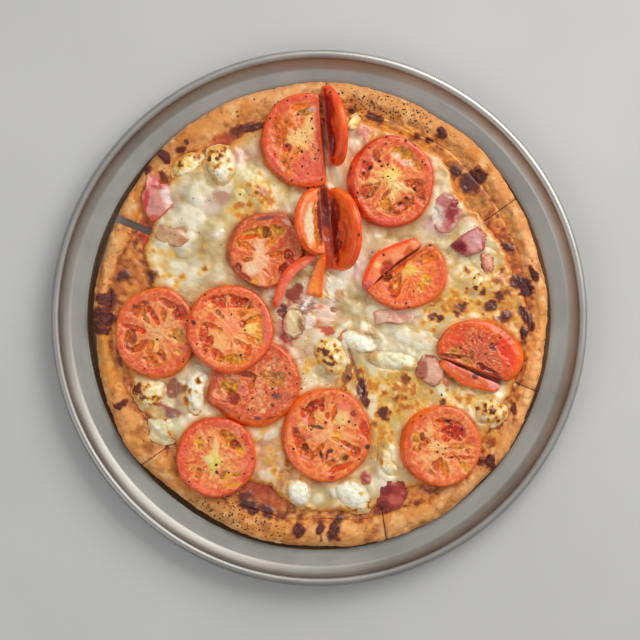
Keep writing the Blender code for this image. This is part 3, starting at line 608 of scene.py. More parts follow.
# Parts of the cheese that are browned in mottles: pixel, radii, turn and how much.
BAKED = (
    ((398, 398), (34, 24), -15, 0.66), ((494, 300), (22, 34), 0, 0.85), ((254, 196), (26, 15), 35, 0.62),
    ((446, 308), (28, 15), -15, 0.6), ((470, 272), (14, 12), 0, 0.55), ((288, 470), (15, 22), 0, 0.66),
    ((470, 400), (26, 11), 0, 0.62), ((340, 517), (38, 9), -5, 0.6), ((346, 384), (8, 22), -10, 0.75),
    ((160, 262), (8, 16), 10, 0.45), ((200, 270), (20, 8), 0, 0.4), ((384, 440), (10, 18), 0, 0.5),
    ((374, 124), (16, 9), 0, 0.55), ((188, 392), (9, 15), 0, 0.7), ((262, 446), (10, 16), 0, 0.4),
    ((244, 214), (16, 8), 0, 0.5), ((318, 368), (16, 10), 0, 0.4), ((436, 382), (22, 10), 0, 0.45),
    ((396, 216), (18, 6), 0, 0.35), ((524, 372), (8, 16), 0, 0.5), ((276, 452), (8, 10), 0, 0.5),
)

# Tints of the sauce band between cheese and crust.
SAUCE_TINTS = (
    ((150, 250), (8, 18), 15, (178, 40, 26), 0.95), ((142, 228), (6, 10), 0, (186, 60, 34), 0.8),
    ((128, 268), (14, 24), 10, (176, 106, 42), 0.7), ((112, 292), (10, 12), 0, (150, 80, 34), 0.7),
    ((240, 132), (24, 10), 15, (122, 48, 34), 0.9), ((215, 142), (12, 7), 20, (190, 84, 48), 0.8),
    ((262, 484), (12, 7), 20, (176, 60, 26), 0.8), ((282, 503), (12, 7), 20, (166, 72, 38), 0.7),
    ((452, 208), (10, 14), 20, (150, 44, 40), 0.8), ((505, 250), (8, 34), 12, (206, 104, 40), 0.7),
    ((400, 130), (46, 12), -18, (214, 150, 66), 0.8), ((450, 172), (20, 34), 35, (212, 136, 56), 0.8),
    ((520, 300), (10, 40), 0, (196, 118, 56), 0.7), ((420, 486), (22, 12), 0, (192, 110, 42), 0.8),
    ((375, 505), (14, 8), 0, (150, 50, 34), 0.8), ((130, 400), (10, 24), 0, (190, 104, 52), 0.7),
    ((165, 470), (20, 12), -30, (206, 140, 74), 0.7), ((300, 530), (34, 7), 0, (206, 150, 84), 0.7),
    ((145, 168), (8, 18), 0, (150, 74, 40), 0.7), ((180, 145), (18, 8), 30, (164, 92, 50), 0.7),
    ((132, 210), (10, 16), 0, (190, 120, 50), 0.7), ((262, 495), (18, 8), 0, (138, 48, 26), 0.8),
    ((520, 272), (8, 26), -10, (176, 92, 40), 0.7), ((478, 204), (10, 6), 30, (172, 128, 70), 0.7),
)

# Toasted and floury parts of the crust, with painted shade in places and painted light along its right side.
CRUST_TINTS = (
    ((200, 118), (26, 12), 30, (196, 132, 72), 0.6), ((160, 150), (22, 12), 50, (172, 122, 78), 0.6),
    ((118, 200), (8, 26), -20, (186, 134, 88), 0.5), ((120, 245), (14, 16), 0, (218, 176, 120), 0.5),
    ((104, 352), (8, 26), 0, (196, 136, 66), 0.7), ((118, 378), (12, 16), 0, (206, 138, 66), 0.7),
    ((140, 440), (16, 16), 30, (204, 142, 78), 0.55), ((170, 468), (22, 10), -35, (210, 148, 88), 0.6),
    ((215, 505), (30, 10), -25, (174, 124, 76), 0.7), ((285, 535), (30, 8), -8, (186, 122, 62), 0.8),
    ((360, 532), (16, 10), 0, (210, 146, 84), 0.6), ((420, 512), (36, 14), 18, (206, 146, 84), 0.6),
    ((470, 480), (20, 12), 40, (214, 158, 104), 0.6), ((505, 445), (14, 22), 30, (218, 152, 92), 0.7),
    # The pale tints along the right side are painted light.
    ((525, 405), (10, 24), 15, (236, 178, 120), 0.9), ((536, 340), (10, 40), 0, (236, 172, 114), 1.0),
    ((532, 262), (12, 42), -12, (238, 180, 130), 1.0), ((498, 195), (14, 24), -40, (208, 146, 92), 0.7),
    ((450, 140), (26, 16), -35, (200, 144, 92), 0.6), ((385, 100), (50, 12), -12, (196, 144, 94), 0.5),
    ((500, 218), (10, 8), 0, (140, 98, 64), 0.7), ((478, 205), (12, 7), 30, (198, 164, 104), 0.8),
    ((300, 92), (40, 7), 5, (220, 178, 132), 0.6), ((340, 92), (16, 6), 0, (222, 176, 126), 0.6),
)

# Where the crust shows pores: pixel, radii, turn and how many.
PORES = (
    ((385, 108), (60, 18), -15, 1.0), ((455, 150), (32, 18), -40, 0.7), ((500, 230), (16, 40), -25, 0.35),
    ((245, 520), (62, 12), -20, 1.0), ((190, 492), (30, 14), -30, 0.5), ((230, 118), (60, 14), 20, 0.3),
    ((125, 390), (14, 40), 0, 0.3), ((400, 520), (40, 12), 12, 0.3), ((310, 538), (30, 8), 0, 0.6),
)

# Torn shreds of cheese and ham in the melted cheese, and painted shade: pixel, radii, turn, colour and rise in
# millimetres.
# The dark entries that sink below the cheese are painted shade in the gaps between the shreds.
SHREDS_AND_SHADE = (
    ((294, 294), (10, 9), -20, (134, 52, 36), -0.6), ((306, 306), (11, 9), 20, (164, 118, 104), -0.5),
    ((309, 296), (7, 13), -38, (232, 196, 176), 1.1), ((306, 303), (2.5, 9), -40, (246, 240, 232), 1.4),
    ((333, 287), (9, 13), 20, (242, 232, 208), 1.3), ((322, 296), (6, 5), 0, (240, 190, 120), 1.0),
    ((325, 314), (9, 12), -20, (238, 208, 190), 0.9), ((320, 307), (4, 3), 0, (216, 132, 100), 0.6),
    ((318, 323), (5, 4), 0, (222, 150, 110), 0.6), ((310, 321), (5, 8), -20, (236, 222, 208), 1.3),
    ((333, 310), (3.4, 3), 20, (140, 84, 48), -0.5), ((341, 296), (5, 9), 15, (206, 158, 120), 0.3),
    ((283, 312), (4, 10), 8, (92, 32, 24), -0.5), ((281, 326), (4, 9), 0, (206, 138, 124), 0.4),
    ((296, 331), (3, 5), 10, (120, 40, 30), -0.4), ((288, 339), (11, 5), 0, (160, 62, 42), -0.2),
    ((326, 330), (10, 3.4), -12, (186, 86, 60), -0.2), ((338, 341), (3, 12), -38, (184, 110, 64), -0.5),
    ((285, 348), (9, 5), 30, (176, 104, 74), -0.2), ((300, 343), (8, 4), 0, (214, 190, 150), 0.5),
    ((222, 197), (8, 6), 0, (190, 150, 132), 0.4), ((239, 195), (4, 6), 0, (232, 214, 150), 0.7),
    ((217, 234), (6, 3), 40, (238, 232, 218), 0.7), ((160, 404), (10, 3), -40, (160, 84, 66), 0.3),
    ((174, 388), (9, 8), 0, (136, 80, 54), -0.3), ((172, 414), (6, 6), 0, (132, 84, 70), 0.4),
    ((365, 480), (6, 7), 0, (150, 60, 46), 0.6), ((420, 200), (6, 4), 0, (200, 136, 130), 0.4),
    ((364, 130), (6, 8), 20, (216, 150, 134), 0.6), ((352, 258), (4, 9), 20, (206, 166, 156), 0.5),
    ((446, 381), (3, 8), 20, (184, 110, 80), 0.3), ((348, 372), (4, 9), -20, (150, 96, 50), -0.6),
)

# Painted shade, tinted like juice, in narrow gaps between tomato pieces: middle pixels, half width in millimetres,
# colour.
GAP_SHADE_AND_JUICE = (
    (((322, 92), (322, 166)), 2.2, (150, 46, 18)), (((324, 190), (326, 226)), 3.0, (132, 36, 14)),
    (((327, 230), (330, 266)), 3.2, (208, 82, 24)),
    (((374, 288), (388, 270), (418, 246)), 2.4, (128, 44, 18)),
    (((446, 354), (466, 372), (498, 381)), 3.0, (112, 34, 16)),
)

# The cut between the two lower slices, in pixels: the cheese dips along it, with painted shade in the dip.
SEAM = ((349, 350), (356, 372), (363, 392), (366, 408))


def near_line(x, y, stations):
    """Distance in millimetres from a line through pixels."""
    best = np.full(x.shape, 999.0)
    for start, end in zip(stations, stations[1:]):
        start, end = spot(*start), spot(*end)
        way = end - start
        share = np.clip(((x - start[0]) * way[0] + (y - start[1]) * way[1]) / (way @ way), 0.0, 1.0)
        best = np.minimum(best, np.hypot(x - start[0] - way[0] * share, y - start[1] - way[1] * share))
    return best


def char_share(x, y):
    return strongest(x, y, CHARS, 0.34, 0.8, 31, 4.6)


def char_relief(x, y, share):
    """Crags of a burnt patch."""
    crag, tag = cells(x, y, 1.7, 41)
    return share * (0.8 + 1.0 * (0.5 - crag) + 0.7 * tag)


def char_colour(base, x, y, share):
    crag, tag = cells(x, y, 1.5, 43)
    dark = mix(plain(x, (62, 24, 20)), (132, 62, 40), np.clip(crag * 0.7 + 0.3 * tag - 0.15, 0, 1))
    edge = np.clip(share * 1.6, 0, 1) - share
    base = mix(base, (164, 84, 36), np.clip(edge * 2.4, 0, 0.85))
    return mix(base, dark, np.clip(share * 1.25, 0, 1))


def browned(base, share):
    """From golden to dark brown as a spot bakes."""
    base = mix(base, (226, 178, 88), smoothstep(0.02, 0.3, share) * 0.8)
    base = mix(base, (186, 112, 36), smoothstep(0.3, 0.58, share) * 0.9)
    return mix(base, (84, 38, 18), smoothstep(0.56, 0.86, share) * 0.95)


# Cheese's height.

STEP = 2.0
LINE = np.arange(-162.0, 162.1, STEP)


def cheese_grid():
    """The melted cheese's smooth thickness on a square grid, as the solids have it."""
    rolling = np.array([[noise.noise(Vector((x, y, 0.0)) / 26.0) for x in LINE] for y in LINE])
    dimples = np.array([[noise.noise(Vector((x, y, 70.0)) / 11.0) for x in LINE] for y in LINE])
    across, up = np.meshgrid(LINE, LINE)
    mounds = np.zeros_like(across)
    for at_x, at_y, radius_x, radius_y, turn, height in CHEESE_MOUNDS:
        cos, sin = math.cos(math.radians(turn)), math.sin(math.radians(turn))
        along = (across - at_x) * cos + (up - at_y) * sin
        beside = -(across - at_x) * sin + (up - at_y) * cos
        mounds += height * bump(along, radius_x) * bump(beside, radius_y)
    return CHEESE_THICKNESS + 0.8 * rolling + 0.4 * dimples + mounds


CHEESE_GRID = cheese_grid()


def cheese_depth(x, y):
    column, row = (x - LINE[0]) / STEP, (y - LINE[0]) / STEP
    left, low = np.floor(column).astype(int), np.floor(row).astype(int)
    across, up = column - left, row - low
    corners = (CHEESE_GRID[line, place] for line in (low, low + 1) for place in (left, left + 1))
    return blended(*corners, across, up)


# Slices.

class Slice:
    """One sixth of the pizza: its tip, and the fine rays that its layers are built on."""

    def __init__(self, index, count, kerf, opened):
        after = (index + 1) % len(CUT_ANGLES)
        start = CUT_ANGLES[index]
        sweep = (CUT_ANGLES[after] - start) % 360.0
        middle = math.radians(start + sweep / 2)
        shift = kerf / 2 / math.sin(math.radians(sweep / 2))
        self.tip = CUT_CENTRE + shift * np.array((math.cos(middle), math.sin(middle)))
        first, last = start + opened * CUT_OPENING[index], start + sweep - opened * CUT_OPENING[after]
        angles = np.radians(np.linspace(first, last, count))
        self.rays = np.stack((np.cos(angles), np.sin(angles)), axis=1)
        from_cut = np.minimum(angles - angles[0], angles[-1] - angles)
        self.from_cut = np.maximum(from_cut, 0.0)
        self.cheese, self.sauce, self.outer = (
            reaches(self.tip, self.rays, radius_at) for radius_at in (cheese_radius, sauce_radius, outline_radius)
        )

    def places(self, out):
        """Plan places of stations. Out has a row for each ray."""
        return (self.tip[0] + self.rays[:, :1] * out, self.tip[1] + self.rays[:, 1:] * out)

    def cut_distance(self, out):
        return out * np.sin(self.from_cut)[:, None]

    def build(self, name, out, height, tip_heights, finish, colours, extras, node_name):
        """Lofts the stations round from above the tip to below it, and closes both cut faces."""
        rays, stations = out.shape
        x, y = self.places(out)
        points = np.stack((x, y, height), axis=-1).reshape(-1, 3)
        top = [(*self.tip, tip_heights[0]), (*self.tip, tip_heights[1])]
        points = np.concatenate((np.array(top), points))
        quads = grid_faces(rays, stations, 2)[:, ::-1]
        first = 2 + np.arange(rays) * stations
        last = first + stations - 1
        fans = np.concatenate((
            np.stack((np.zeros(rays - 1, dtype=int), first[:-1], first[1:]), axis=1),
            np.stack((np.ones(rays - 1, dtype=int), last[1:], last[:-1]), axis=1),
        ))
        start = np.concatenate(([0], np.arange(first[0], last[0] + 1), [1]))[::-1]
        end = np.concatenate(([0], np.arange(first[-1], last[-1] + 1), [1]))
        tip_colour = colours[0, 0], colours[0, -1]
        colours = np.concatenate((np.array(tip_colour), colours.reshape(-1, 3)))
        extras = {
            key: np.concatenate(([value[0, 0], value[0, -1]], value.ravel())) for key, value in extras.items()
        }
        piece = make_object(name, points, (quads, fans, [start], [end]), finish, colours, extras)
        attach(piece, "root")
        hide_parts(node_name)
        return piece


def spline(corners, counts):
    """Smooth stations through rows of corners. Corners is rays by corners by 2."""
    lead = 2 * corners[:, :1] - corners[:, 1:2]
    tail = 2 * corners[:, -1:] - corners[:, -2:-1]
    before = np.concatenate((lead, corners, tail), 1)
    stations = []
    for span, count in enumerate(counts):
        p0, p1, p2, p3 = (before[:, span + step] for step in range(4))
        for step in range(count):
            t = step / count
            stations.append(0.5 * (
                2 * p1 + (p2 - p0) * t + (2 * p0 - 5 * p1 + 4 * p2 - p3) * t * t
                + (3 * p1 - p0 - 3 * p2 + p3) * t * t * t
            ))
    stations.append(corners[:, -1])
    return np.stack(stations, axis=1)


def stationed(*pairs):
    """Rays by stations by 2, from pairs of how far out and how high."""
    return np.stack([np.stack(pair, axis=1) for pair in pairs], axis=1)


def padded(value, lead, tail):
    """Repeats the first and last stations of a grid."""
    return np.concatenate((np.repeat(value[:, :1], lead, 1), value, np.repeat(value[:, -1:], tail, 1)), axis=1)


def crest_height(x, y):
    return 15.6 + 0.9 * fbm(x, y, 30.0, 2, 77)


def baked_band(x, y):
    """Colour and relief of the oily, browned band where sauce and cheese have baked onto the crust."""
    blotch, crumb, fine = fbm(x, y, 9.0, 3, 211), fbm(x, y, 3.4, 3, 214), fbm(x, y, 1.6, 2, 217)
    bubble, tag = cells(x, y, 3.0, 219)
    raised = (tag > 0.5) * smoothstep(0.55, 0.15, bubble)
    colour = plain(x, (192, 114, 50))
    # Golden on raised crumbs and dark brown in the dips: partly the band's baked colour, partly painted highlight and
    # painted shade.
    colour = mix(colour, (232, 182, 104), smoothstep(0.0, 0.4, crumb) * 0.75)
    colour = mix(colour, (152, 70, 28), smoothstep(0.0, 0.4, blotch) * 0.65)
    colour = mix(colour, (104, 42, 18), smoothstep(0.1, 0.45, -crumb - 0.3 * fine) * 0.85)
    colour = mix(colour, (240, 204, 140), smoothstep(0.2, 0.6, fine) * 0.35)
    colour = mix(colour, (214, 152, 72), raised * 0.4)
    relief = 0.55 * crumb + 0.25 * fine + 0.3 * blotch + 0.5 * raised
    for at, radii, turn, tint, strength in SAUCE_TINTS:
        share = strength * patch(x, y, at, radii, turn, 0.45, 0.7, 105, 6.0)
        colour = mix(colour, np.array(tint) * (1 + 0.25 * np.clip(crumb, -1, 1))[..., None], share * 0.75)
    return colour, relief


def crust_slice(index):
    piece = Slice(index, 230, CRUST_KERF, CRUST_OPENING)
    cheese, sauce, outer = piece.cheese, piece.sauce, piece.outer
    border = outer - sauce
    middle = piece.tip + piece.rays * (outer - border / 2)[:, None]
    crest = crest_height(middle[:, 0], middle[:, 1])
    along = piece.rays @ piece.tip

    def pan_reach(radius):
        return -along + np.sqrt(along * along + radius * radius - piece.tip @ piece.tip)

    knee = np.minimum(outer - 2.2, pan_reach(149.8))
    foot = np.minimum(outer - 4.2, pan_reach(148.3))
    flat = np.zeros_like(outer)
    fine = spline(stationed(
        (sauce - 1.5, flat + 11.0), (sauce + 0.22 * border, crest - 2.0), (sauce + 0.5 * border, crest),
        (outer - 0.2 * border, crest - 1.2), (outer - 0.9, crest - 3.2), (outer, flat + 10.6),
        (outer - 0.9, flat + 8.2), (knee, flat + 5.6), (foot, flat + CRUST_BOTTOM),
    ), (13, 12, 12, 6, 5, 5, 4, 2))
    inner = stationed(
        (cheese * 0.4, flat + CRUST_FLOOR), (cheese * 0.8, flat + CRUST_FLOOR), (cheese, flat + 9.4),
        (cheese + (sauce - cheese) * 0.45, flat + 10.2),
    )
    below = stationed((foot * 0.66, flat + CRUST_BOTTOM), (foot * 0.33, flat + CRUST_BOTTOM))
    out, height = fine[:, :, 0], fine[:, :, 1]
    step_out, step_up = np.gradient(out, axis=1), np.gradient(height, axis=1)
    length = np.maximum(np.hypot(step_out, step_up), 1e-6)
    normal_out, normal_up = -step_up / length, step_out / length
    run = np.cumsum(length, axis=1)
    x, y = piece.places(out)
    around = np.arctan2(y - PIZZA_CENTRE[1], x - PIZZA_CENTRE[0]) * 150.0
    station = np.arange(out.shape[1])[None, :] / (out.shape[1] - 1.0)
    shown = smoothstep(0.0, 0.1, station) * smoothstep(0.93, 0.72, station) + np.zeros_like(out)
    char = char_share(x, y) * shown
    relief = 1.0 * fbm(around, run, 12.0, 3, 51) + 0.3 * fbm(around, run, 4.4, 2, 54)
    relief += 0.1 * fbm(around, run, 1.9, 2, 57)
    dimple, tag = cells(around, run, 2.4, 61)
    relief -= 0.5 * (tag < 0.14) * smoothstep(0.42, 0.1, dimple)
    blister, tag = cells(around, run, 7.0, 67)
    relief += 0.9 * (tag > 0.7) * smoothstep(0.5, 0.12, blister)
    near_sauce = smoothstep(0.27, 0.03, station + 0.26 * fbm(around, run, 9.0, 3, 59))
    band_colour, band_relief = baked_band(x, y)
    relief = relief * (1 - near_sauce) + (band_relief + 0.2) * near_sauce
    relief = relief * shown + char_relief(x, y, char)
    cut = piece.cut_distance(out)
    relief -= 0.45 * np.exp(-(cut / 0.9) ** 2) * shown
    out = out + relief * normal_out
    height = height + relief * normal_up
    out = np.minimum(out, outer[:, None] + 0.35)
    height = np.maximum(height, CRUST_BOTTOM)
    all_out = np.concatenate((inner[:, :, 0], out, below[:, :, 0]), axis=1)
    all_up = np.concatenate((inner[:, :, 1], height, below[:, :, 1]), axis=1)

    colour = mix(plain(x, (214, 156, 102)), (192, 118, 56), smoothstep(0.0, 0.45, fbm(around, run, 12.0, 3, 71)) * 0.7)
    colour = mix(colour, (228, 192, 146), smoothstep(0.05, 0.55, fbm(around, run, 8.0, 4, 74)) * 0.6)
    colour = mix(colour, (168, 108, 60), smoothstep(0.1, 0.6, fbm(around, run, 4.6, 3, 79)) * 0.4)
    colour = tinted(colour, x, y, CRUST_TINTS, 0.5, 0.5, 81, 9.0)
    colour = mix(colour, (206, 148, 100), smoothstep(0.6, 0.8, station) * 0.7)
    colour = mix(colour, (240, 208, 162), smoothstep(0.12, 0.5, fbm(around, run, 5.6, 3, 85)) * 0.45)
    colour = mix(colour, (150, 94, 52), smoothstep(0.12, 0.5, fbm(around, run, 2.2, 3, 88)) * 0.14)
    # Painted shade: darker where the relief dips.
    colour = mix(colour, (132, 76, 38), np.clip(-relief - 0.25, 0, 0.8))
    colour = mix(colour, band_colour, near_sauce * 0.9)
    spread = strongest(x, y, PORES, 0.35, 0.3, 87, 8.0, 0.22)
    colour = char_colour(colour, x, y, char)
    wet = 0.12 + 0.35 * near_sauce + 0.5 * char
    lead, tail = inner.shape[1], below.shape[1]
    extras = {"Wet": padded(wet, lead, tail), "Pores": padded(spread * (1 - char), lead, tail)}
    return piece.build(f"baked_crust_{index + 1}", all_out, all_up, (CRUST_FLOOR, CRUST_BOTTOM), CRUST,
                       padded(colour, lead, tail), extras, f"crust_{index + 1}")


def sauce_slice(index):
    piece = Slice(index, 120, CRUST_KERF, CRUST_OPENING)
    cheese, sauce = piece.cheese, piece.sauce
    start = cheese - 7.0
    edge = sauce + 0.5
    shares = np.concatenate((np.linspace(0, 0.9, 20), (0.94, 0.97, 1.0)))
    out = start[:, None] + (edge - start)[:, None] * shares
    past_cheese = out - cheese[:, None]
    rise = np.clip(past_cheese / np.maximum(sauce - cheese, 1.0)[:, None], 0.0, 1.0)
    height = SAUCE_LEVEL + 0.4 * smoothstep(-8.0, 0.0, past_cheese) + 1.2 * smoothstep(0.0, 1.0, rise)
    x, y = piece.places(out)
    char = char_share(x, y)
    shown = smoothstep(0.02, 0.2, shares)[None, :] * smoothstep(1.0, 0.9, shares)[None, :]
    colour, relief = baked_band(x, y)
    relief = relief + char_relief(x, y, char)
    height = height + (relief + 0.35) * shown - 0.25 * smoothstep(0.9, 1.0, shares)[None, :]
    height -= 0.3 * np.exp(-(piece.cut_distance(out) / 0.8) ** 2)
    height = np.maximum(height, 10.2)
    flat = np.zeros_like(cheese)
    before = stationed((cheese * 0.4, flat + SAUCE_LEVEL), (cheese * 0.75, flat + SAUCE_LEVEL))
    under = stationed((sauce, flat + 11.4), (cheese, flat + 9.7), (cheese * 0.6, flat + SAUCE_BOTTOM))
    all_out = np.concatenate((before[:, :, 0], out, under[:, :, 0]), axis=1)
    all_up = np.concatenate((before[:, :, 1], height, under[:, :, 1]), axis=1)
    colour = char_colour(colour, x, y, char)
    wet = np.clip(0.55 + 0.35 * fbm(x, y, 4.0, 2, 107), 0, 1)
    return piece.build(f"oily_sauce_{index + 1}", all_out, all_up, (SAUCE_LEVEL, SAUCE_BOTTOM), SAUCE,
                       padded(colour, 2, 3), {"Wet": padded(wet, 2, 3)}, f"sauce_{index + 1}")


def melt(x, y):
    """Rounded swells where pieces of cheese have melted together, from about -1 to 1.2."""
    bent_x, bent_y = x + 4.0 * fbm(x, y, 13.0, 2, 151), y + 4.0 * fbm(x, y, 13.0, 2, 153)
    away, tag = cells(bent_x, bent_y, 13.0, 155)
    return (0.9 - 1.8 * away ** 2) * (0.4 + 0.6 * tag) + 0.5 * fbm(x, y, 6.0, 2, 157)


def baked_share(x, y):
    """How browned the cheese is away from its round spots."""
    total = strongest(x, y, BAKED, 0.6, 0.6, 175, 8.0)
    grain = 0.6 * fbm(x, y, 4.2, 3, 171) + 0.4 * fbm(x, y, 9.0, 2, 173)
    return total * smoothstep(-0.1, 0.34, grain + 0.2 * (total - 0.4))


def cheese_tone(x, y, swell, spots):
    """Colour of the melted cheese away from its edge, with painted light on its swells and painted shade in its
    troughs.
    """
    colour = mix(plain(x, (208, 184, 136)), (208, 160, 96), smoothstep(0.0, 0.45, fbm(x, y, 9.0, 3, 134)) * 0.6)
    colour = mix(colour, (216, 184, 162), smoothstep(0.12, 0.5, fbm(x, y, 10.0, 2, 137)) * 0.45)
    colour = tinted(colour, x, y, CHEESE_TINTS, 0.6, 0.7, 141, 9.0)
    # Painted highlight: lighter on the tops of the swells.
    colour = mix(colour, (246, 240, 222), smoothstep(0.15, 0.85, swell) * 0.75)
    # Golden in the troughs, partly the thin cheese's own tone and partly painted shade.
    colour = mix(colour, (196, 146, 78), smoothstep(0.05, -0.7, swell) * 0.65)
    colour = mix(colour, (238, 220, 168), smoothstep(0.1, 0.6, fbm(x, y, 2.4, 3, 139)) * 0.3)
    colour = mix(colour, (206, 130, 74), tomato_halo(x, y) * 0.6)
    # Painted shade: darker down in the troughs.
    colour = colour * (0.86 + 0.13 * smoothstep(-0.5, 0.7, swell))[..., None]
    return browned(colour, spots)


def cheese_slice(index):
    piece = Slice(index, 164, 0.0, 0.0)
    ripple = np.arctan2(piece.rays[:, 1], piece.rays[:, 0]) * 120.0
    zero = np.zeros_like(ripple)
    edge = piece.cheese + 1.5 * fbm(ripple, zero, 9.0, 3, 111) + 0.9 * fbm(ripple, zero, 3.0, 2, 113)
    shares = np.concatenate((np.linspace(0.01, 0.978, 112), (0.985, 0.99, 0.995, 1.0)))
    out = edge[:, None] * shares
    x, y = piece.places(out)
    to_edge = edge[:, None] - out
    full = CHEESE_BOTTOM + cheese_depth(x, y)
    round_off = np.sqrt(np.clip(1 - (1 - np.clip(to_edge / 5.0, 0, 1)) ** 2, 0, 1))
    height = CHEESE_LEVEL + (full - CHEESE_LEVEL) * (0.28 + 0.72 * round_off)
    spots = np.maximum(dots(x, y, CHEESE_SPOTS, 0.8), dots(x, y, CHEESE_SCATTER, 0.8) * 0.85)
    spots = np.maximum(spots, baked_share(x, y))
    char = char_share(x, y)
    swell = melt(x, y)
    relief = 1.35 * swell + 0.4 * fbm(x, y, 4.0, 3, 121) + 0.08 * fbm(x, y, 1.5, 2, 128)
    relief += 0.3 * spots + char_relief(x, y, char)
    crease = near_line(x, y, SEAM)
    relief -= 1.3 * np.exp(-(crease / 1.5) ** 2)
    relief += tomato_swell(x, y) + topping_swell(x, y)
    # Masks of the shreds, and of the dark sunken patches painted as shade.
    shred_and_shade_masks = [patch(x, y, *entry[:3], 0.24, 0.7, 161, 4.0) for entry in SHREDS_AND_SHADE]
    for share, (*_, rise) in zip(shred_and_shade_masks, SHREDS_AND_SHADE):
        relief += rise * share
    height = np.maximum(height + relief * smoothstep(0.0, 3.0, to_edge), 11.5)
    under = stationed((edge - 0.3, zero + 11.2), (edge * 0.8, zero + CHEESE_BOTTOM), (edge * 0.4, zero + CHEESE_BOTTOM))

    colour = cheese_tone(x, y, swell, spots)
    rim_tone = smoothstep(8.0, 0.5, to_edge + 5 * fbm(x, y, 6.0, 3, 144)) * 0.75
    colour = mix(colour, (208, 148, 76), rim_tone * (1 - smoothstep(0.3, 0.6, spots)))
    colour = mix(colour, (198, 122, 52), smoothstep(3.0, 0.3, to_edge) * 0.6)
    # Painted shade along the dip of the cut.
    colour = mix(colour, (120, 56, 22), np.exp(-(crease / 1.2) ** 2) * 0.8)
    for share, (*_, tint, _) in zip(shred_and_shade_masks, SHREDS_AND_SHADE):
        colour = mix(colour, tint, share * 0.9)
    # Painted shade with a juice-red tint in the gaps between pieces of tomato.
    for stations, half_width, tint in GAP_SHADE_AND_JUICE:
        away = near_line(x, y, stations) + 0.5 * fbm(x, y, 3.0, 2, 149)
        colour = mix(colour, tint, np.exp(-(away / half_width) ** 4))
    colour = char_colour(colour, x, y, char)
    wet = np.clip(0.7 + 0.5 * fbm(x, y, 6.0, 3, 147) - 0.3 * spots, 0, 1)
    all_out = np.concatenate((out, under[:, :, 0]), axis=1)
    all_up = np.concatenate((height, under[:, :, 1]), axis=1)
    return piece.build(f"melted_cheese_{index + 1}", all_out, all_up, (height[:, 0].mean(), CHEESE_BOTTOM), CHEESE,
                       padded(colour, 0, 3), {"Wet": padded(wet, 0, 3)}, f"cheese_{index + 1}")


# Tomato slices.

# Outline as in the frame: centre, radii, turn, cut, and corners that stick out.
TOMATOES = {
    "tomato_1": ((-7.4, 117.5), (31.6, 31.8), 0, ((2.2, 119), 95), ()),
    "tomato_2": ((47.4, 90.3), (28.8, 30.6), 0, None, ()),
    "tomato_3": ((56.5, 29.5), (28.5, 23.8), 0, ((53, 34.5), 35.5), ()),
    "tomato_4": ((-35.5, 45), (25.5, 25.0), 0, None, ((60, 14, 2.0),)),
    "tomato_7": ((-107.7, -10.2), (27.5, 30.4), 0, None, ()),
    "tomato_9": ((-42.4, -43.2), (29.8, 29.2), 0, None, ((199, 12, 4.0),)),
    "tomato_8": ((-58.9, -7.3), (28.8, 29.2), 0, None, ()),
    "tomato_10": ((-68.2, -92), (26.6, 26.8), 0, None, ()),
    "tomato_11": ((4.6, -77.4), (29.8, 31.2), 0, None, ()),
    "tomato_12": ((80.4, -84.7), (27.0, 27.0), 0, None, ()),
    "tomato_13": ((106.8, -24), (29.0, 22.8), -12, ((106, -35.4), -20), ()),
}

